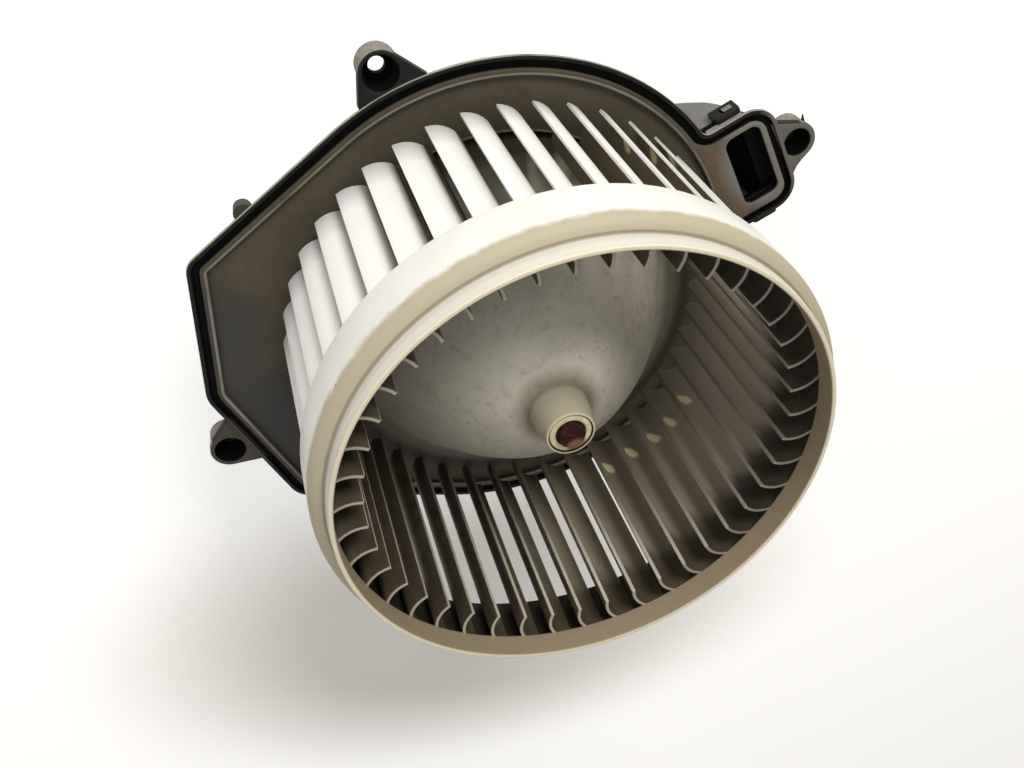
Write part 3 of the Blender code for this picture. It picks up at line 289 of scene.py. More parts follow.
def shrunk(points, distance):
    """An outline moved inwards by the inset operator."""
    bm = bmesh.new()
    face = bm.faces.new([e.verts[0] for e in loop_of(bm, points, 0.0)])
    face.normal_update()
    inset(bm, face, distance)
    out = [(v.co.x / MM, v.co.y / MM) for v in face.verts]
    bm.free()
    return out


def turn_profile(bm, profile, steps, slot=0, centre=(0.0, 0.0), start=0.0, sweep=360.0):
    """Spins a closed section of (radius, height) about an upright axis, all round or by part of a turn."""
    before = set(bm.faces)
    cx, cy = (c * MM for c in centre)
    c, s = polar(1.0, start)
    verts = [bm.verts.new((cx + r * c * MM, cy + r * s * MM, z * MM)) for r, z in profile]
    whole = sweep == 360.0
    geom = verts + [bm.edges.new(pair) for pair in zip(verts, verts[1:] + verts[:1])]
    if not whole:
        geom.append(bm.faces.new(verts))
    bmesh.ops.spin(bm, geom=geom, cent=(cx, cy, 0.0), axis=(0, 0, 1), angle=math.radians(sweep), steps=steps,
                   use_merge=whole, use_duplicate=False)
    return settle(bm, [f for f in bm.faces if f not in before], slot)


# Settings

# The photo's frame in pixels, the camera's sensor in mm and the lens's focal length in pixels
PICTURE_WIDTH = 1024.0
PICTURE_HEIGHT = 768.0
SENSOR = 36.0
FOCAL_PIXELS = 1021.944


def colour_setting(name, what, value):
    """A setting that holds a colour."""
    return StringProperty(name=name, description="sRGB hex of the " + what, default=value)


class WheelSettings(bpy.types.PropertyGroup):
    blades: IntProperty(name="Blades", description="Number of blades in the cage", default=43, min=3)
    steps: IntProperty(name="Facets", description="Facets round the ring", default=172, min=24)
    clean: colour_setting("Clean plastic", "clean polypropylene", "E6E6E3")
    tan: colour_setting("Dried dirt", "dirt on the ring's shoulder", "B0A68D")
    brown: colour_setting("Old dirt", "dirt inside the collar", "8E7E65")
    soot: colour_setting("Blade dust", "dust packed in the blades' hollow sides", "594F42")
    hub: colour_setting("Hub dust", "grey film on the hub", "BFBAA9")


class FlangeSettings(bpy.types.PropertyGroup):
    black: colour_setting("Moulding", "black filled plastic", "0E0E0D")
    dust: colour_setting("Dust", "dust on the flange's floor", "453E31")
    stain: colour_setting("Stain", "rust-brown stains", "6B5540")


class CoverSettings(bpy.types.PropertyGroup):
    grey: colour_setting("Moulding", "grey filled plastic", "6E6D6B")


class StageSettings(bpy.types.PropertyGroup):
    focal: FloatProperty(name="Focal length", description="Camera lens in millimetres on a 36 mm sensor",
                         default=FOCAL_PIXELS * SENSOR / PICTURE_WIDTH)
    eye: FloatVectorProperty(name="Eye", description="Place of the camera", subtype='TRANSLATION',
                             default=(0.174672, 0.101371, 0.334474), unit='LENGTH')
    key: FloatProperty(name="Key lamp", description="Power of the large soft lamp", default=7.4, unit='POWER')
    fill: FloatProperty(name="Fill lamp", description="Power of the weak lamp at the camera's side",
                        default=3.8, unit='POWER')
    sky: FloatProperty(name="Ambient", description="Strength of the light from all round", default=0.34)


# Finishes of the wheel

def ring_finish(look):
    """Injection-moulded white polypropylene: a satin skin, with dried tan dirt where the air brushes it."""
    return finish("polypropylene_moulded_ring", look.clean, [
        ("D8D4C8", 0.6, ("patches", 0.35, 0.80, 22.0)),
        (look.tan, 1.0, ("above", 70.6, 72.6, 5.0, 3.0), ("radius", 69.0, 69.5)),
        # Painted shade: a darker brown over the tan dirt, strongest on the side near (-60, -60).
        ("A08F70", 0.55, ("above", 71.2, 73.4, 6.0, 3.0),
         ("near", 118.0, 40.0, 8.0, 0.0, (-60, -60, 140))),
        ("7A6A4E", 0.7, ("patches", 0.60, 0.68, 1.0), ("above", 71.0, 71.8, 6.0, 2.0),
         ("patches", 0.55, 0.62, 16.0), ("above", 74.0, 73.0)),
        # Painted shade: a dark line in the corner at the collar's foot.
        ("7D725C", 0.65, ("radius", 72.0, 71.5), ("above", 75.0, 75.3)),
        ("CDC9BE", 1.0, ("above", 75.6, 76.1), ("radius", 70.2, 70.5)),
        ("DBD2B8", 1.0, ("above", 80.5, 80.8)),
        ("6B5638", 0.6, ("above", 80.0, 80.3), ("patches", 0.57, 0.64, 0.9),
         ("patches", 0.46, 0.56, 17.0), ("above", 81.3, 80.9)),
        (look.brown, 1.0, ("radius", 70.0, 69.7), ("above", 81.6, 81.2)),
        # Dirt and painted shade: near black on the band's inner side, under the ring.
        ("2C261F", 1.0, ("radius", 73.7, 73.3), ("above", 74.4, 74.1)),
    ], 0.40, 0.9, 0.18, worn=(0.62, ("above", 70.0, 72.0)))


def hub_finish(look):
    """The same polypropylene under a grey film of dust, dull, with a few spots where drops have dried,
    painted shade on the brim and round the boss's foot, and a painted highlight beside the boss.
    """
    return finish("polypropylene_hub_dust_painted_light_and_shade", look.hub, [
        ("CAC4B3", 0.7, ("patches", 0.35, 0.70, 18.0)),
        ("A59F8F", 0.5, ("patches", 0.52, 0.70, 5.0)),
        # Painted shade: darker low on the brim, and nearly black on the brim among the blades' roots.
        ("8A8577", 0.8, ("above", 9.0, 5.0)),
        ("38332B", 0.85, ("radius", 55.5, 59.5, 6.0, 2.0)),
        # Painted highlight: a pale spot on the dome beside the boss.
        ("DAD5C6", 0.6, ("near", 13.0, 3.0, 6.0, 3.0, (12, -10, 114))),
        # Painted shade in the crease round the boss's foot.
        ("6F6450", 0.85, ("radius", 14.5, 9.8, 5.0, 3.0), ("radius", 8.4, 9.0)),
        ("6E6A58", 0.30, ("patches", 0.58, 0.70, 2.8)),
        ("ACA48C", 1.0, ("radius", 9.4, 8.9), ("above", 50.4, 52.0)),
        ("C4B999", 0.9, ("radius", 9.0, 8.6), ("above", 60.9, 61.3)),
        ("2C231A", 1.0, ("radius", 6.75, 6.62)),
    ], 0.60, 1.1, 0.28, shine=0.35)


def blade_finish(look):
    """The same polypropylene: clean and satin on the bulging sides, brown with packed dust in the hollows.
    Over these lie painted light and shade: grey painted shade at the back ends and under the ring, hollows,
    inner edges and tips painted lighter or darker in places, and pale cream spots of painted light between
    the blades. Coats that are held near a point follow how light or dark the photo is there."""
    # Painted light: pale cream spots where light falls through the gaps between the blades.
    light_spots = [("F4E9BE", 1.0, ("near", 3.1, 2.0, 2.0, 1.4, spot), ("soil", 0.5, 0.6)) for spot in
             ((66.2, -21.9, 79.7), (63.0, -31.1, 79.8), (60.0, -39.1, 76.6), (-24.9, -60.8, 84.6),
              (-33.6, -56.8, 85.5), (-42.1, -53.5, 83.5), (-49.5, -47.1, 82.0), (-55.9, -39.6, 81.8))]
    inner_edge = (("soil", 0.30, 0.36), ("soil", 0.50, 0.42))
    tips = (("up", 0.8, 0.95), ("above", 73.0, 73.5))
    right = (2, -70, 92)
    return finish("polypropylene_blades_dust_painted_light_and_shade", look.clean, [
        # Painted shade: grey at the back ends of the clean sides.
        ("A3A3A1", 0.75, ("above", 13.0, 1.0), ("soil", 0.3, 0.1)),
        ("B9B3A4", 0.9, ("soil", 0.05, 0.35, 7.0, 0.2)),
        ("8D8068", 1.0, ("soil", 0.35, 0.6, 7.0, 0.2)),
        (look.soot, 1.0, ("soil", 0.55, 0.85, 7.0, 0.2)),
        ("332C23", 0.7, ("soil", 0.6, 0.9), ("patches", 0.45, 0.65, 5.0)),
        # Painted light: the hollows lighter on the right side, near (66, -26, 84) and near (-60, -42, 98).
        ("A39A8A", 0.9, ("near", 66.0, 40.0, 14.0, 12.0, right), ("soil", 0.5, 0.7),
         ("above", 66.0, 54.0, 8.0, 6.0)),
        ("8A7E68", 0.85, ("near", 42.0, 26.0, 8.0, 0.0, (66, -26, 84)), ("soil", 0.5, 0.7)),
        ("938977", 0.75, ("near", 46.0, 28.0, 14.0, 12.0, (-60, -42, 98)), ("soil", 0.5, 0.7),
         ("above", 66.0, 54.0, 8.0, 6.0)),
        # Painted shade: the hollows darker on the left side.
        ("352D24", 0.6, ("near", 72.0, 45.0, 8.0, 0.0, (-45, 52, 105)), ("soil", 0.5, 0.7)),
        # Painted shade: the inner edges darker towards the back end and on the right side.
        ("6A5F50", 0.9, ("above", 60.0, 24.0), *inner_edge),
        ("6A6154", 0.85, ("near", 80.0, 50.0, 8.0, 0.0, right), *inner_edge),
        # Painted shade: the blades' outer parts darker inside the band, and nearly black under the ring near
        # (20, -66, 130).
        ("4E4436", 0.9, ("above", 57.5, 61.0), ("radius", 63.0, 65.0)),
        ("1E1915", 0.75, ("above", 60.0, 66.0), ("near", 75.0, 50.0, 8.0, 0.0, (20, -66, 130)),
         ("soil", 0.5, 0.7)),
        *light_spots,
        ("AEA898", 1.0, *tips),
        # Painted shade: the tips darker on the right side.
        ("7F776A", 0.9, *tips, ("near", 80.0, 45.0, 8.0, 0.0, (10, -66, 132))),
    ], 0.52, 1.0, 0.22, shine=0.3)


# Finishes of the flange and the cover

def moulding_finish(look):
    """Black glass-filled nylon as moulded: nearly matt, with painted sheen on the tops of two ears, and
    painted highlights on the lip's side wall by the arm and along the lip's outer edge.
    """
    return finish("nylon_filled_black", look.black, [
        ("171615", 0.7, ("patches", 0.35, 0.70, 6.0)),
        # Painted sheen on the second ear's top.
        ("68645D", 0.9, ("near", 19.0, 14.0, 4.0, 3.0, (59, -92, 58)), ("up", 0.6, 0.9)),
        # Painted highlight on the lip's side wall by the arm.
        ("96928A", 0.9, ("near", 11.0, 8.0, 4.0, 2.0, (64, -65, 58)), ("up", 0.5, 0.2),
         ("height", 57.3, 57.6)),
        # Painted sheen on the third ear's top.
        ("4A453B", 0.8, ("near", 17.0, 11.0, 4.0, 3.0, (-54, 90, 58)), ("up", 0.6, 0.9)),
        # Painted highlight in patches along the lip's outer edge.
        ("96928A", 1.0, ("out", 0.35, 0.55), ("height", 57.7, 58.0), ("patches", 0.20, 0.50, 12.0)),
    ], 0.46, 0.8, 0.30, worn=(0.62, ("up", 0.6, 0.9)), shine=0.2)


def groove_shade_finish():
    """The same nylon deep in the groove and round the air inlet, painted near black as shade."""
    return finish("nylon_groove_painted_shade_black", "040404", [
        ("090807", 0.6, ("patches", 0.40, 0.70, 5.0)),
    ], 0.60, 0.8, 0.25, shine=0.06)


def floor_finish(look):
    """The same nylon under olive-brown dust that has settled on it, wiped in places to its dark grey, with
    painted sheen on the arm's end, a painted highlight on the well's edge, and painted shade in the well and
    on the groove's walls.
    """
    wiped = (((-8.0, 96.0, 57.0), 22.0, 12.0), ((-52.0, 78.0, 57.0), 34.0, 26.0))
    clean = [("393836", 0.9, ("near", far, close, 14.0, 9.0, spot)) for spot, far, close in wiped]
    return finish("nylon_floor_dust_painted_light_and_shade", look.dust, [
        ("4F4738", 0.6, ("patches", 0.42, 0.68, 16.0)),
        ("332D24", 0.5, ("patches", 0.55, 0.75, 7.0)),
        *clean,
        # Painted sheen: paler grey on the top of the arm's end.
        ("5A5145", 0.9, ("near", 46.0, 34.0, 9.0, 4.0, (56, -88, 58.8)), ("height", 58.2, 58.6)),
        (look.stain, 0.8, ("near", 6.0, 1.5, 3.0, 4.0, (51.5, -64.0, 58.8))),
        (look.stain, 0.8, ("near", 6.0, 1.0, 3.0, 4.0, (43.5, -68.5, 58.8))),
        (look.stain, 0.6, ("near", 5.0, 1.5, 4.0, 3.0, (35.5, -78.5, 58.8))),
        # Painted sheen, paler still, on the top of the arm's end.
        ("75716A", 1.0, ("near", 24.5, 19.5, 6.0, 2.0, (58, -88, 58.8)), ("height", 58.2, 58.6)),
        # Painted highlight on the well's edge.
        ("857E70", 0.8, ("radius", 61.4, 60.9), ("height", 55.6, 56.4)),
        # Painted shade: darker in the well under the hub.
        ("302B22", 0.8, ("height", 55.4, 55.2)),
        # Painted shade: black on the groove's walls.
        ("080807", 1.0, ("height", 58.2, 57.9), ("up", 0.4, 0.2), ("radius", 79.5, 80.0)),
    ], 0.66, 0.8, 0.30, shine=0.25)


def ridge_finish():
    """The same nylon on the ridge: brown with dust, with a soft painted highlight along its top, and black
    painted shade on the side of the groove."""
    return finish("nylon_ridge_dust_painted_light_and_shade", "4A453B", [
        # Painted highlight along the ridge's top, stronger near (84, 10).
        ("857F73", 0.9, ("height", 58.3, 58.75), ("patches", 0.30, 0.60, 14.0)),
        ("84817A", 0.7, ("height", 58.4, 58.75), ("near", 62.0, 40.0, 9.0, 0.0, (84, 10, 58))),
        # Painted shade: black on the side towards the groove.
        ("080807", 1.0, ("height", 58.5, 58.2), ("out", 0.4, 0.7)),
    ], 0.50, 0.8, 0.25, shine=0.35)


def post_sheen_finish():
    """Nylon with a spark-eroded skin on the screw posts: a coarse grain, pale grey on the sides as painted
    sheen, black where the faces look up.
    """
    return finish("nylon_textured_posts_painted_sheen", "8A877F", [
        ("6A665E", 0.6, ("patches", 0.45, 0.62, 1.6)),
        ("1B1A19", 1.0, ("up", 0.4, 0.6)),
        # Less painted sheen at the locating peg.
        ("45413B", 0.9, ("near", 9.0, 7.0, 8.0, 0.0, (32.7, 83.6, 52.5))),
    ], 0.78, 0.9, 0.6, shine=0.3)


def cover_finish(look):
    """Grey filled polypropylene, moulded with a fine spark-eroded texture, so it is dull and even. Inside the
    inlet's arm it is painted black as shade, as the photo shows it black there."""
    return finish("polypropylene_filled_cover", look.grey, [
        ("7B7A78", 0.6, ("patches", 0.35, 0.70, 14.0)),
        ("55524D", 0.4, ("patches", 0.56, 0.72, 3.0)),
        # Painted shade: black inside the inlet's arm.
        ("080807", 1.0, ("near", 44.0, 36.0, 8.0, 0.0, (50, -76, 46)), ("out", -0.1, -0.4)),
        ("080807", 1.0, ("near", 44.0, 36.0, 8.0, 0.0, (50, -76, 46)), ("up", 0.5, 0.8)),
    ], 0.60, 0.7, 0.35, shine=0.3)


# The motor and what it holds: the pieces, then base, second colour, roughness, grain, bump and metallic

INNER_FINISHES = {
    "steel_zinc_plated_drawn": (("motor_can", "end_bell"), "A9ABAB", "8E9090", 0.36, 3.0, 0.05, 1.0),
    "bronze_sintered": (("front_bearing", "rear_bearing"), "8F7448", "6F5836", 0.50, 0.6, 0.25, 1.0),
    "steel_spring": (("front_bearing_retainer", "rear_bearing_retainer", "magnet_spring_left",
                      "magnet_spring_right", "brush_spring_positive", "brush_spring_negative"),
                     "9A9A98", "7E7E7C", 0.34, 2.0, 0.05, 1.0),
    "steel_laminated_core": (("armature_core",), "6E6E70", "58585A", 0.48, 1.0, 0.15, 1.0),
    "copper_enamelled_wire": (("armature_winding", "commutator", "choke_positive", "choke_negative"),
                              "8E4320", "A65A2C", 0.34, 0.9, 0.30, 1.0),
    "ferrite_sintered": (("magnet_upper", "magnet_lower"), "3A3A3C", "2E2E30", 0.70, 1.5, 0.20, 0.0),
    "phenolic_paper_board": (("brush_card",), "7A5330", "6A4526", 0.50, 2.0, 0.10, 0.0),
    "graphite_copper_pressed": (("brush_positive", "brush_negative"),
                                "4A4038", "3A322C", 0.58, 0.8, 0.20, 0.0),
    "epoxy_dipped": (("capacitor",), "1E4A86", "1A4278", 0.30, 3.0, 0.05, 0.0),
    "nylon_natural_turned": (("front_thrust_washer", "rear_thrust_washer"),
                             "D9D2BE", "CFC7B0", 0.50, 3.0, 0.05, 0.0),
    "brass_tinned": (("terminal_positive", "terminal_negative"), "B9B5A8", "A39F90", 0.32, 2.0, 0.05, 1.0),
    "rubber_moulded": (("front_isolator", "rear_isolator"), "1C1C1C", "262626", 0.78, 1.5, 0.20, 0.0),
}


def plain_finish(name, base, second, rough, grain, bump, metallic):
    """A finish with a soft mottle and a fine grain, for the motor and what it holds."""
    mottle = (second, 1.0, ("patches", 0.35, 0.65, grain * 4.0))
    return finish(name, base, [mottle], rough, grain, bump, metallic)


def shaft_finish():
    """Ground steel rusted to a rough dark red-brown crust, flaky and with no shine."""
    return finish("steel_rusted_shaft", "2E120D", [
        ("5C362A", 0.6, ("patches", 0.55, 0.68, 1.6)),
        ("120806", 0.85, ("patches", 0.46, 0.38, 1.3)),
        ("8A6154", 0.8, ("near", 3.6, 1.8, 1.2, 1.6, (-3.2, -1.8, BACK + 63.0))),
    ], 0.92, 0.7, 0.9, shine=0.15)


def insert_finish():
    """A moulded nylon sleeve, cream with age, stained by rust water at its bore."""
    return finish("nylon_aged_insert", "C9BC95", [
        ("E2D8B4", 0.6, ("patches", 0.45, 0.65, 2.4)),
        ("6A4A30", 0.75, ("radius", 4.9, 4.4, 1.2, 0.5)),
        ("74493A", 0.95, ("near", 3.5, 2.4, 0.9, 1.6, (-4.2, -2.6, BACK + 61.5))),
    ], 0.55, 0.8, 0.3)


# The wheel. Its lengths are in mm, and its heights are counted from BACK.

# Places of the wheel's finishes in its list
RING, HUB, BLADES = range(3)

# The hub: its dome's top and radius of curvature there, the foot of the boss's flare, the fold to the brim,
# the brim's outer end, the two walls, and the socket under the boss with the radius that the sleeve fills
HUB_TOP = 51.2
HUB_BEND = 29.2
FLARE_R = 13.0
FOLD_Z = 11.25
BRIM_R = 62.3
BRIM_Z = 1.8
HUB_WALL = 2.0
BRIM_WALL = 1.5
SOCKET_R = 9.5
SOCKET_FOOT = 38.2
SLEEVE_R = 6.6

# A blade: its middle line's arc from the outer tip inwards, its thickness at the tip and what it gains
# inwards, its height, the softening of its ends and the turn of the first one
BLADE_CENTRE = 64.11
BLADE_ARC = 9.12
BLADE_START = -9.2
BLADE_SWEEP = 105.2
BLADE_TIP_THICK = 0.8
BLADE_GAIN = 0.3
BLADE_TALL = 74.3
BLADE_SOFTEN = 0.12
BLADE_PHASE = 3.97
BLADE_STATIONS = (0.0, 0.025, 0.10, 0.20, 0.30, 0.40, 0.50, 0.60, 0.70, 0.80, 0.90, 0.975, 1.0)


def ring_section():
    """The ring's section: lip, cove and bulge of the collar, round shoulder, and the band's two sides."""
    outline = [(69.5, 74.0), (69.5, 81.5), (70.9, 81.5), (70.9, 80.9), (70.5, 80.5), (71.15, 78.4),
               (70.9, 75.4), (71.9, 75.5)]
    outline = rounded(outline, (0.5, 0.35, 0.2, 0.2, 2.5, 0.4), 4)
    for i in range(1, 9):
        a = math.radians(90.0 * i / 8)
        outline.append((71.4 + 3.6 * math.sin(a), 71.5 + 4.0 * math.cos(a)))
    foot = rounded([(75.0, 66.0), (75.0, 57.2), (73.0, 57.2), (73.0, 66.0)], (0.6, 0.6), 3)
    outline += foot + rounded([(73.0, 66.0), (73.0, 74.0), (69.5, 74.0)], (0.8,), 3)[1:-1]
    return [(r, z + BACK) for r, z in outline]


def hub_section():
    """The hub's section: boss with a flared foot, dome, and the brim that sweeps out to the blades."""
    def dome(r):
        return HUB_TOP - r * r / (2.0 * HUB_BEND)

    fold_r = math.sqrt(2.0 * HUB_BEND * (HUB_TOP - FOLD_Z))
    radii = [FLARE_R + (fold_r - FLARE_R) * i / 13 for i in range(14)]
    face = [(r, dome(r)) for r in radii]
    brim = []
    for i in range(1, 8):
        t = i / 7
        brim.append((fold_r + (BRIM_R - fold_r) * t, BRIM_Z + (FOLD_Z - BRIM_Z) * (1.0 - t) ** 2.2))
    under = [(r, z - BRIM_WALL) for r, z in brim]
    inner = []
    for r, z in face[::-1]:
        slope = r / HUB_BEND
        k = HUB_WALL / math.sqrt(1.0 + slope * slope)
        inner.append((max(SOCKET_R, r - k * slope), z - k))
    boss = [(SLEEVE_R, 61.5), (7.3, 61.5), (8.5, 54.8), (8.9, dome(8.9)), face[0]]
    boss = rounded(boss, (0.3, 6.0, 1.5), 4)
    socket = [(SOCKET_R, SOCKET_FOOT), (SLEEVE_R, SOCKET_FOOT)]
    section = boss + face[1:] + brim + under[::-1] + inner + socket
    return [(r, z + BACK) for r, z in section]


def blade_section():
    """One blade's outline with how soiled each point is: 0 clean, 1 packed with dust."""
    outer, inner = [], []
    for t in BLADE_STATIONS:
        a = math.radians(BLADE_START - BLADE_SWEEP * t)
        half = 0.5 * (BLADE_TIP_THICK + BLADE_GAIN * min(1.0, 2.0 * t))
        for side, row in ((half, outer), (-half, inner)):
            r = BLADE_ARC + side
            soil = 0.95 if side < 0.0 else max(0.02, min(0.85, (t - 0.40) * 2.2))
            if t == 0.0:
                soil = 0.02 if side > 0.0 else 0.25
            if t == 1.0:
                soil = 0.38
            row.append(((BLADE_CENTRE + r * math.cos(a), r * math.sin(a)), soil))
    return outer[::-1] + inner


def build_blades(bm, count, slot):
    """The cage: one blade raised from its section, then repeated round the shaft."""
    soil = bm.verts.layers.float.new("soil")
    lower = []
    for (x, y), value in blade_section():
        v = bm.verts.new((x * MM, y * MM, BACK * MM))
        v[soil] = value
        lower.append(v)
    face = bm.faces.new(lower)
    raised = bmesh.ops.extrude_face_region(bm, geom=[face])
    up = [g for g in raised["geom"] if isinstance(g, bmesh.types.BMVert)]
    bmesh.ops.translate(bm, vec=(0.0, 0.0, BLADE_TALL * MM), verts=up)
    rims = [e for e in face.edges] + [e for e in bm.edges if e.is_manifold and all(v in up for v in e.verts)]
    bmesh.ops.bevel(bm, geom=rims, offset=BLADE_SOFTEN * MM, segments=1, profile=0.5, affect='EDGES',
                    material=-1)
    phase = Matrix.Rotation(math.radians(BLADE_PHASE), 3, 'Z')
    bmesh.ops.rotate(bm, cent=(0, 0, 0), matrix=phase, verts=bm.verts)
    bmesh.ops.spin(bm, geom=bm.verts[:] + bm.edges[:] + bm.faces[:], cent=(0, 0, 0), axis=(0, 0, 1),
                   angle=math.tau * (count - 1) / count, steps=count - 1, use_duplicate=True)
    settle(bm, bm.faces[:], slot)


class BLOWER_OT_wheel(bpy.types.Operator):
    """Makes the wheel: the mouth ring, the hub and the cage of blades, moulded as one"""
    bl_idname = "blower.wheel"
    bl_label = "Fan wheel"

    def execute(self, context):
        look = context.scene.blower_wheel
        bm = bmesh.new()
        build_blades(bm, look.blades, BLADES)
        turn_profile(bm, ring_section(), look.steps, RING)
        turn_profile(bm, hub_section(), look.steps, HUB)
        finish_piece("wheel_moulding", bm, "rotor", ["fan_wheel"],
                     [ring_finish(look), hub_finish(look), blade_finish(look)])
        return {'FINISHED'}


class BLOWER_OT_shaft(bpy.types.Operator):
    """Makes the shaft with the rust crust on its end, and the sleeve that holds it in the hub"""
    bl_idname = "blower.shaft"
    bl_label = "Shaft and insert"

    def execute(self, context):
        low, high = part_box("motor_shaft")
        top, foot = high.z / MM, low.z / MM
        bm = bmesh.new()
        crown = [(0.02 + 3.5 * i / 7, top - 0.03 * i) for i in range(8)]
        side = [(4.0, top - 0.9), (4.15, top - 1.6), (4.2, top - 2.3), (4.1, top - 3.2), (4.0, top - 4.0)]
        turn_profile(bm, crown + side + [(4.0, foot + 0.6), (3.4, foot), (0.02, foot)], 36)
        for v in bm.verts:
            depth = top - v.co.z / MM
            if depth < 3.5:
                lump = noise.fractal(v.co / (1.3 * MM), 0.8, 2.0, 3)
                away = Vector((v.co.x, v.co.y, 0.0)) * 90.0 + Vector((0.0, 0.0, 0.9))
                v.co += away * (lump * 0.35 * MM)
        finish_piece("rusted_shaft", bm, "rotor", ["motor_shaft"], [shaft_finish()], 60.0)

        low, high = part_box("hub_insert")
        top, foot = high.z / MM, low.z / MM
        section = rounded([(4.3, foot), (4.3, top), (6.3, top), (6.3, foot)], (0.45, 0.35), 4)
        bm = bmesh.new()
        turn_profile(bm, section, 64)
        finish_piece("insert_sleeve", bm, "rotor", ["hub_insert"], [insert_finish()])
        return {'FINISHED'}


# The flange. The inlet's arm has its own plan frame: u runs out along it and v across.

RIM = 84.0
RIM_TOP = 58.8
ARM_TURN = -56.0
ARM_END = 105.4
ARM_SIDES = (-16.8, 22.8)
EAR_R = 6.6
# Places of the flange's finishes in its list
MOULDING, GROOVE_SHADE, FLOOR, POSTS_SHEEN, RIDGE = range(5)
# Screw ears as (radius, turn): the axis, the wall round its counterbore, the two roots of the web, and
# where the web's second side runs out along the arm
EARS = (
    ((89.5, 30.9), 1.3, (84.4, 37.9), (83.6, 22.88), None),
    ((110.0, -57.9), 1.9, (104.33, -51.81), (106.0, -63.04), (105.3, -66.3)),
    ((104.8, 121.0), 1.5, (97.5, 126.87), (98.69, 114.23), None),
)
# The loops that snap over the cover's catches: the place across the arm, the turn of the loop's face, and its
# foot and top, counted from LATCH_Z
LATCHES = ((ARM_SIDES[0] - 0.7, 34.0, -3.3, 3.4),
           (ARM_SIDES[1] + 0.7, -146.0, -4.4, 5.0))
LATCH_U = 92.0
LATCH_Z = 52.9
RIB_TURNS = (62.0, 92.0, 122.0, 150.0, 178.0, 206.0)
RIB_SIDES = ((61.4, -0.8), (82.0, -0.8), (82.0, 0.8), (61.4, 0.8))


def arm_point(u, v):
    c, s = polar(1.0, ARM_TURN)
    return (u * c + v * s, u * s - v * c)


def arm_root(v, side, radius=3.2):
    """The concave corner between the rim's circle and the arm's side, as points from circle to arm."""
    centre_v = v + side * radius
    centre_u = math.sqrt((RIM + radius) ** 2 - centre_v ** 2)
    start = math.degrees(math.atan2(-centre_v, -centre_u))
    stop = -90.0 * side
    if start - stop > 180.0:
        start -= 360.0
    if stop - start > 180.0:
        start += 360.0
    out = []
    for i in range(9):
        a = math.radians(start + (stop - start) * i / 8)
        out.append(arm_point(centre_u + radius * math.cos(a), centre_v + radius * math.sin(a)))
    return out


def turn_of(point):
    return math.degrees(math.atan2(point[1], point[0]))


def scroll_outline(arm):
    """The flange's edge: the rim's circle, the scroll's three corners and, if asked, the inlet's arm."""
    corners = ((18.522, 80.115, 7.0), (17.92, 108.417, 12.0), (17.821, 138.703, 9.0))
    first = corners[0][1] - math.degrees(math.acos(RIM / (RIM + corners[0][0])))
    last = corners[-1][1] + math.degrees(math.acos(RIM / (RIM + corners[-1][0])))
    line = [polar(RIM + beyond, turn) for beyond, turn, radius in corners]
    line = [polar(RIM, first), *line, polar(RIM, last)]
    out = rounded(line, [radius for beyond, turn, radius in corners], 10)[1:-1]
    if not arm:
        return out + arc((0, 0), RIM, last, first + 360.0, 130)
    v0, v1 = ARM_SIDES
    root1, root0 = arm_root(v1, 1.0), arm_root(v0, -1.0)[::-1]
    out += arc((0, 0), RIM, last, turn_of(root1[0]) + 360.0, 70)[:-1]
    box = [arm_point(u, v) for u, v in ((90.0, v1), (ARM_END, v1), (ARM_END, v0), (90.0, v0))]
    out += root1 + rounded(box, (9.0, 9.0), 10)[1:-1] + root0
    return out + arc((0, 0), RIM, turn_of(root0[-1]) + 360.0, first + 360.0, 56)[1:]


def arm_box(u, v, radius):
    """A rectangle with round corners in the arm's frame."""
    corners = [arm_point(*p) for p in ((u[0], v[0]), (u[1], v[0]), (u[1], v[1]), (u[0], v[1]))]
    return rounded(corners, [radius] * 4, 6, closed=True)


def ear_outline(centre, root_a, root_b, runout, deep):
    """The web of an ear in plan: round its end, straight to its roots, or in a hollow curve to a run-out.
    It goes in under the flange's lip by the depth."""
    c = Vector(centre)
    a, b = Vector(root_a), Vector(root_b)
    inward = -(c - (a + b) * 0.5).normalized() * deep

    def touch(root, side):
        away = root - c
        turn = math.acos(min(1.0, EAR_R / away.length)) * side
        base = math.atan2(away.y, away.x)
        return math.degrees(base + turn)

    start, stop = touch(b, 1.0), touch(a, -1.0)
    while stop < start:
        stop += 360.0
    out = arc(centre, EAR_R, start, stop, 28)
    out += [tuple(a), tuple(a + inward)]
    if not runout:
        return out + [tuple(b + inward), tuple(b)]
    far = Vector(runout)
    return out + rounded([tuple(b + inward), tuple(far + inward * 0.5), tuple(far), tuple(b), out[0]],
                         (0.0, 0.0, 11.0), 10)[:-1]


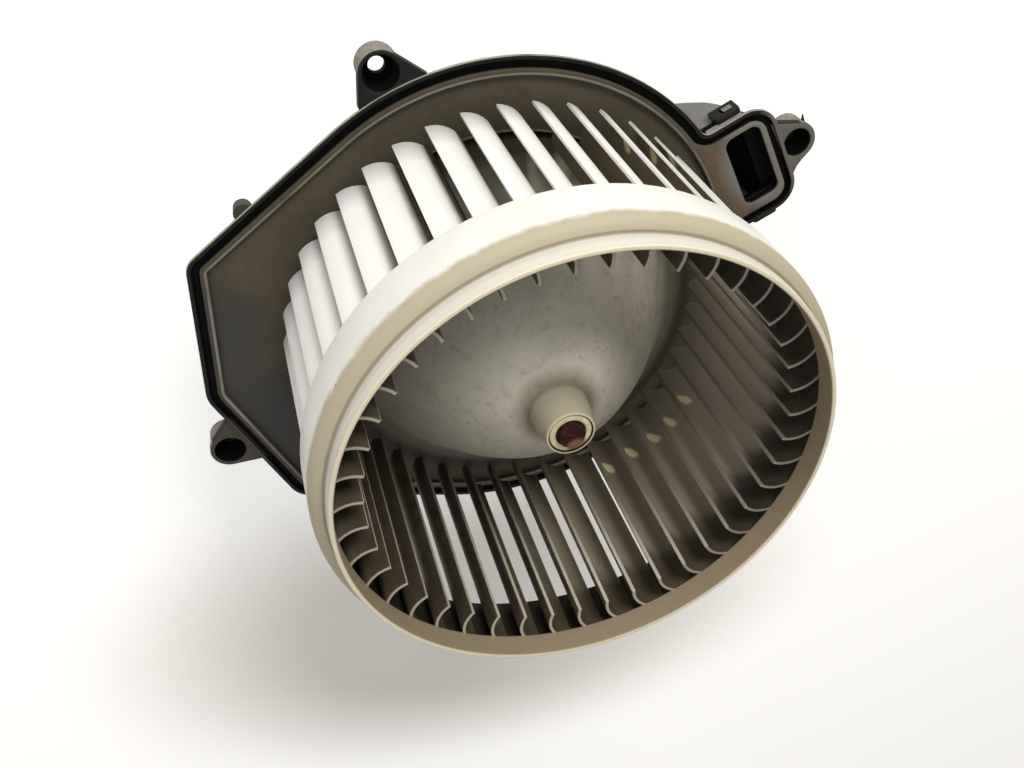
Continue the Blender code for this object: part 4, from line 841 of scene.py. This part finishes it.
def build_ears(bm):
    """The three screw ears: a web in two layers, with a post and its counterbore under it."""
    for axis, wall, root_a, root_b, runout in EARS:
        centre = polar(*axis)
        bore = EAR_R - wall
        far = polar(*runout) if runout else None
        hole = circle(bore, 40, centre)
        for low, high, deep in ((54.9, 56.6, 3.0), (56.6, 57.9, 0.8)):
            web = ear_outline(centre, polar(*root_a), polar(*root_b), far, deep)
            for f in plate(bm, [web, hole], low, high, MOULDING, 0.45, (high,) if high > 57.0 else ()):
                # The ears' outer walls take the posts' pale painted sheen.
                away = Vector(f.calc_center_median().xy) / MM - Vector(centre)
                outside = away.length > 6.2 and away.dot(Vector(centre).normalized()) > 1.0
                if abs(f.normal.z) < 0.3 and outside:
                    f.material_index = POSTS_SHEEN
        post = [(6.3, 57.3), (6.2, 48.4), (5.8, 48.0), (2.5, 48.0), (2.5, 50.3), (bore - 1.5, 50.3),
                (bore - 1.1, 50.7), (bore, 57.0), (bore + 0.4, 57.3)]
        for f in turn_profile(bm, post, 40, POSTS_SHEEN, centre):
            # The counterbore's inside is painted near black as shade.
            middle = f.calc_center_median()
            if (Vector(middle.xy) - Vector(centre) * MM).length < 5.6 * MM:
                f.material_index = GROOVE_SHADE


def build_flash(bm):
    """The torn scrap of moulding flash that stands out from the second ear's post."""
    before = set(bm.faces)
    lean = Vector((0.809, -0.059, -0.585)).to_track_quat('Z', 'Y').to_matrix().to_4x4()
    spot = Matrix.Translation(Vector((65.4, -94.4, 55.1)) * MM)
    place = spot @ lean @ Matrix.Diagonal((1.0, 0.45, 1.0, 1.0))
    bmesh.ops.create_cone(bm, cap_ends=True, segments=5, radius1=1.1 * MM, radius2=0.25 * MM, depth=3.0 * MM,
                          matrix=place)
    settle(bm, [f for f in bm.faces if f not in before], POSTS_SHEEN)


def build_latches(bm):
    """The loops that snap over the cover's catches, one on each side of the arm."""
    for v, turn, foot, top in LATCHES:
        part = bmesh.new()
        side = 1.0 if turn > 0.0 else -1.0
        window = [(-0.7 * side - 1.9 + x, y) for x, y in ((0, -2.0), (3.8, -2.0), (3.8, 1.4), (0, 1.4))]
        face = [(-4.5, foot), (4.5, foot), (4.5, top), (-4.5, top)]
        face = rounded(face, (0.4, 0.4, 1.2, 1.2), 3, closed=True)
        plate(part, [face, window], -1.0, 1.0, MOULDING, 0.3, (-1.0, 1.0))
        x, y = arm_point(LATCH_U, v)
        turned = Matrix.Rotation(math.radians(turn + 90.0), 4, 'Z')
        stand = turned @ Matrix.Rotation(math.radians(90.0), 4, 'X')
        place = Matrix.Translation((x * MM, y * MM, LATCH_Z * MM)) @ stand
        bmesh.ops.transform(part, matrix=place, verts=part.verts)
        copy_into(bm, part)


def copy_into(bm, part):
    """Adds another bmesh to this one."""
    mesh = bpy.data.meshes.new("part")
    part.to_mesh(mesh)
    part.free()
    bm.from_mesh(mesh)
    bpy.data.meshes.remove(mesh)


def build_flange_plate(bm):
    """The plate with its lip, groove and ridge, the dusty floor, the arm's top and the well.

    The CAD's plate is as wide as its lip. Here its body stands 2.4 mm back, for the thin lip of the photo.
    """
    edge = scroll_outline(True)
    floor = shrunk(scroll_outline(False), 5.3)
    well = circle(60.4, 120)
    throat = arm_box((87.0, 95.0), (-11.2, 15.6), 3.0)
    inlet = arm_box((87.0, 99.5), (-11.2, 15.6), 3.0)
    # The body, the groove's base, the lip, the land inside the groove, the floor and the ridge
    plate(bm, [shrunk(edge, 2.4), well, inlet], 54.2, 56.3, FLOOR, 0.1)
    plate(bm, [shrunk(edge, 0.8), floor, inlet], 56.2, 57.2, GROOVE_SHADE, 0.1)
    band(bm, edge, 0.0, 1.4, 57.3, RIM_TOP, MOULDING, 0.35, (57.3, RIM_TOP))
    plate(bm, [shrunk(edge, 3.8), floor, inlet], 55.8, RIM_TOP, FLOOR, 0.35)
    plate(bm, [shrunk(scroll_outline(False), 5.2), well], 55.9, 57.0, FLOOR, 0.3)
    band(bm, scroll_outline(False), 3.85, 2.2, 55.9, RIM_TOP - 0.02, RIDGE, 0.7)
    # The strip of wall along the arm's side, and the two layers under the well
    wall = [arm_point(*p) for p in ((83.6, -16.7), (96.2, -16.7), (96.2, -15.6), (83.6, -15.6))]
    # The strip takes the posts' pale painted sheen.
    plate(bm, [wall], 55.2, 57.5, POSTS_SHEEN, 0.15, (55.2,))
    pad = pan_outline(62.4, 0.6)
    # The pad round the inlet's throat is painted near black as shade.
    plate(bm, [pad, circle(33.0, 72), throat], 52.6, 54.5, GROOVE_SHADE, 0.2, (52.6,))
    plate(bm, [circle(61.0, 120), circle(31.0, 72)], 53.9, 55.0, FLOOR, 0.25)


def build_tube(bm):
    """The tube that holds the motor, with its four windows for the cooling air."""
    for low, high in ((25.0, 30.0), (42.0, 54.0)):
        turn_profile(bm, [(33.2, low), (35.4, low), (35.4, high), (33.2, high)], 72)
    half = math.degrees(math.asin(8.0 / 34.3))
    for i in range(4):
        turn_profile(bm, [(33.2, 29.9), (35.4, 29.9), (35.4, 42.1), (33.2, 42.1)], 12, MOULDING, (0, 0),
                     ARM_TURN + 90.0 * i + half, 90.0 - 2.0 * half)


def pan_outline(radius, grow=0.0):
    """A circle about the shaft, drawn out to the arm under the inlet."""
    v0, v1 = -16.0 - grow, 20.6 + grow
    end = 99.5 + grow
    bm = bmesh.new()
    corners = [arm_point(u, v) for u, v in ((78.0, v1), (end, v1), (end, v0), (78.0, v0))]
    corners = rounded(corners, (8.0, 8.0), 8)
    for x, y in arc((0, 0), radius, 0.0, 355.0, 71) + [corners[0], corners[-1]]:
        bm.verts.new((x * MM, y * MM, 0.0))
    bmesh.ops.convex_hull(bm, input=bm.verts[:])
    start = turn_of(corners[-1])
    body = [(v.co.x / MM, v.co.y / MM) for v in bm.verts if v.link_edges]
    body.sort(key=lambda p: (turn_of(p) - start) % 360.0)
    bm.free()
    return [p for p in body if math.dist(p, corners[0]) > 0.01 and math.dist(p, corners[-1]) > 0.01] + corners


class BLOWER_OT_flange(bpy.types.Operator):
    """Makes the mounting flange: plate, ears and posts, latches, ribs and the motor's tube"""
    bl_idname = "blower.flange"
    bl_label = "Mounting flange"

    def execute(self, context):
        look = context.scene.blower_flange
        bm = bmesh.new()
        build_flange_plate(bm)
        build_ears(bm)
        build_flash(bm)
        build_latches(bm)
        build_tube(bm)
        centre = polar(89.768, 68.637)
        peg = [(0.02, 54.9), (3.1, 54.9), (2.8, 50.4), (2.4, 50.0), (0.02, 50.0)]
        turn_profile(bm, peg, 28, POSTS_SHEEN, centre)
        for turn in RIB_TURNS:
            c, s = polar(1.0, turn)
            rib = [(r * c - w * s, r * s + w * c) for r, w in RIB_SIDES]
            plate(bm, [rib], 50.7, 55.6, MOULDING, 0.25, (50.7,))
        finish_piece("flange_moulding", bm, "housing", ["mounting_flange"],
                     [moulding_finish(look), groove_shade_finish(), floor_finish(look), post_sheen_finish(),
                      ridge_finish()])
        return {'FINISHED'}


class BLOWER_OT_cover(bpy.types.Operator):
    """Finishes the rear cover: a copy of its solid with softened edges"""
    bl_idname = "blower.cover"
    bl_label = "Rear cover"

    def execute(self, context):
        bm = bmesh.new()
        bm.from_mesh(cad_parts["rear_cover"].data)
        bmesh.ops.remove_doubles(bm, verts=bm.verts, dist=0.000002)
        bmesh.ops.dissolve_limit(bm, angle_limit=math.radians(1.0), verts=bm.verts, edges=bm.edges)
        rims = [e for e in bm.edges if e.is_manifold and e.calc_face_angle_signed(0.0) > math.radians(50.0)]
        bmesh.ops.bevel(bm, geom=rims, offset=0.35 * MM, offset_type='OFFSET', segments=2, profile=0.5,
                        affect='EDGES', material=-1, clamp_overlap=True)
        finish_piece("cover_moulding", bm, "housing", ["rear_cover"],
                     [cover_finish(context.scene.blower_cover)])
        return {'FINISHED'}


# The motor and what it holds

class BLOWER_OT_motor(bpy.types.Operator):
    """Finishes the motor's can, its inner pieces and the rubber rings that hold it"""
    bl_idname = "blower.motor"
    bl_label = "Motor"

    def execute(self, context):
        for name, (nodes, *look) in INNER_FINISHES.items():
            mat = plain_finish(name, *look)
            for each in nodes:
                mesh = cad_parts[each].data
                mesh.materials.clear()
                mesh.materials.append(mat)
        return {'FINISHED'}


# The stage

# The photo's soft shadow: the squash that makes it round, its centre after that and where it fades, in metres
SHADOW_SQUASH = (1.0, 0.6, 0.0)
SHADOW_CENTRE = (-0.225, -0.020, 0.0)
SHADOW_FADE = (0.050, 0.130)
# What the floor glows with for the camera, in the shadow and outside it
FLOOR_GLOW = (0.07, 0.46)


def build_floor():
    """White paper, which for the camera glows a little, so that it is white but for the photo's shadow."""
    bm = bmesh.new()
    bmesh.ops.create_grid(bm, x_segments=1, y_segments=1, size=4.0)
    mesh = bpy.data.meshes.new("floor")
    bm.to_mesh(mesh)
    bm.free()
    floor = bpy.data.objects.new("floor", mesh)
    bpy.context.scene.collection.objects.link(floor)
    mat = bpy.data.materials.new("paper_white_matt")
    mat.use_nodes = True
    tree = mat.node_tree
    tree.nodes.clear()
    seen = node(tree, "ShaderNodeLightPath", output="Is Camera Ray")
    paper = node(tree, "ShaderNodeBsdfDiffuse", {"Color": linear("F4F0E8")})
    place = node(tree, "ShaderNodeTexCoord", output="Object")
    oval = node(tree, "ShaderNodeVectorMath", {0: place, 1: SHADOW_SQUASH}, operation='MULTIPLY')
    away = node(tree, "ShaderNodeVectorMath", {0: oval, 1: SHADOW_CENTRE}, output="Value",
                operation='DISTANCE')
    clear = node(tree, "ShaderNodeMapRange", {
        "Value": away, "From Min": SHADOW_FADE[0], "From Max": SHADOW_FADE[1], "To Min": FLOOR_GLOW[0],
        "To Max": FLOOR_GLOW[1]}, interpolation_type='SMOOTHSTEP')
    glow = node(tree, "ShaderNodeEmission", {"Color": linear("F9FBFF"), "Strength": clear})
    both = node(tree, "ShaderNodeAddShader", {0: paper, 1: glow})
    pick = node(tree, "ShaderNodeMixShader", {0: seen, 1: paper, 2: both})
    node(tree, "ShaderNodeOutputMaterial", {"Surface": pick})
    mesh.materials.append(mat)


def build_world(scene, look):
    """A soft light from all round, which is plain white where it is seen, mirrored or seen through."""
    world = bpy.data.worlds.new("white_surroundings")
    world.use_nodes = True
    tree = world.node_tree
    tree.nodes.clear()
    camera = node(tree, "ShaderNodeLightPath", output="Is Camera Ray")
    glossy = node(tree, "ShaderNodeLightPath", output="Is Glossy Ray")
    through = node(tree, "ShaderNodeLightPath", output="Is Transmission Ray")
    seen = node(tree, "ShaderNodeMath", {0: camera, 1: glossy}, operation='MAXIMUM')
    seen = node(tree, "ShaderNodeMath", {0: seen, 1: through}, operation='MAXIMUM')
    soft = node(tree, "ShaderNodeBackground", {"Color": linear("FBF7EF"), "Strength": look.sky})
    white = node(tree, "ShaderNodeBackground", {"Color": linear("FFFFFF"), "Strength": 1.0})
    pick = node(tree, "ShaderNodeMixShader", {0: seen, 1: soft, 2: white})
    node(tree, "ShaderNodeOutputWorld", {"Surface": pick})
    scene.world = world


def build_lamps(look):
    """A large soft key over the top of the picture and a weak fill beside the camera."""
    aim = Vector((0.0, 0.0, 0.08))
    for name, towards, distance, size, power, tint in (
            ("key_lamp", (0.87, -0.02, 0.49), 1.0, 0.45, look.key, "FFFEFB"),
            ("fill_lamp", (0.30, 0.60, 0.74), 1.2, 0.9, look.fill, "F6F8FF")):
        lamp = bpy.data.lights.new(name, 'AREA')
        lamp.shape = 'DISK'
        lamp.size = size
        lamp.energy = power
        lamp.color = linear(tint)[:3]
        holder = bpy.data.objects.new(name, lamp)
        way = Vector(towards).normalized()
        holder.location = aim + way * distance
        holder.rotation_euler = way.to_track_quat('Z', 'Y').to_euler()
        bpy.context.scene.collection.objects.link(holder)


# The camera's axes in the object's frame: to the picture's right, down the picture, and into it
CAMERA_AXES = ((0.13038288463914005, -0.9519660086385204, 0.27705779503565897),
               (-0.8089560604212565, 0.05941973027204038, 0.584858434120701),
               (-0.5732280485992439, -0.30038311212723406, -0.7623513561658171))
PRINCIPAL_POINT = (513.055, 383.469)


def build_camera(scene, look):
    """The camera that matches the photo."""
    lens = bpy.data.cameras.new("camera")
    lens.sensor_width = SENSOR
    lens.lens = look.focal
    lens.shift_x = -(PRINCIPAL_POINT[0] - 0.5 * PICTURE_WIDTH) / PICTURE_WIDTH
    lens.shift_y = (PRINCIPAL_POINT[1] - 0.5 * PICTURE_HEIGHT) / PICTURE_WIDTH
    lens.clip_start = 0.01
    camera = bpy.data.objects.new("camera", lens)
    scene.collection.objects.link(camera)
    right, down, into = (Vector(axis) for axis in CAMERA_AXES)
    place = Matrix((right, -down, -into)).transposed().to_4x4()
    place.translation = Vector(look.eye)
    camera.matrix_world = place
    scene.camera = camera


class BLOWER_OT_stage(bpy.types.Operator):
    """Makes the pale floor, the soft light, the white surroundings and the camera"""
    bl_idname = "blower.stage"
    bl_label = "Stage"

    def execute(self, context):
        look = context.scene.blower_stage
        scene = context.scene
        scene.view_settings.view_transform = 'Standard'
        build_floor()
        build_world(scene, look)
        build_lamps(look)
        build_camera(scene, look)
        return {'FINISHED'}


class BLOWER_PT_panel(bpy.types.Panel):
    """Lists the steps that dress the blower fan"""
    bl_idname = "BLOWER_PT_panel"
    bl_label = "Blower fan"
    bl_space_type = 'VIEW_3D'
    bl_region_type = 'UI'
    bl_category = "Blower fan"

    def draw(self, context):
        for step in STEPS:
            self.layout.operator(step.bl_idname)


STEPS = (BLOWER_OT_stage, BLOWER_OT_wheel, BLOWER_OT_shaft, BLOWER_OT_flange, BLOWER_OT_cover,
         BLOWER_OT_motor)
SETTINGS = {"blower_wheel": WheelSettings, "blower_flange": FlangeSettings, "blower_cover": CoverSettings,
            "blower_stage": StageSettings}


def register():
    for name, group in SETTINGS.items():
        bpy.utils.register_class(group)
        setattr(bpy.types.Scene, name, PointerProperty(type=group))
    for cls in (*STEPS, BLOWER_PT_panel):
        bpy.utils.register_class(cls)


def unregister():
    for cls in (BLOWER_PT_panel, *STEPS[::-1]):
        bpy.utils.unregister_class(cls)
    for name, group in SETTINGS.items():
        delattr(bpy.types.Scene, name)
        bpy.utils.unregister_class(group)


def main():
    register()
    bpy.ops.blower.stage()
    bpy.ops.blower.wheel()
    bpy.ops.blower.shaft()
    bpy.ops.blower.flange()
    bpy.ops.blower.cover()
    bpy.ops.blower.motor()


if __name__ == "__main__":
    main()
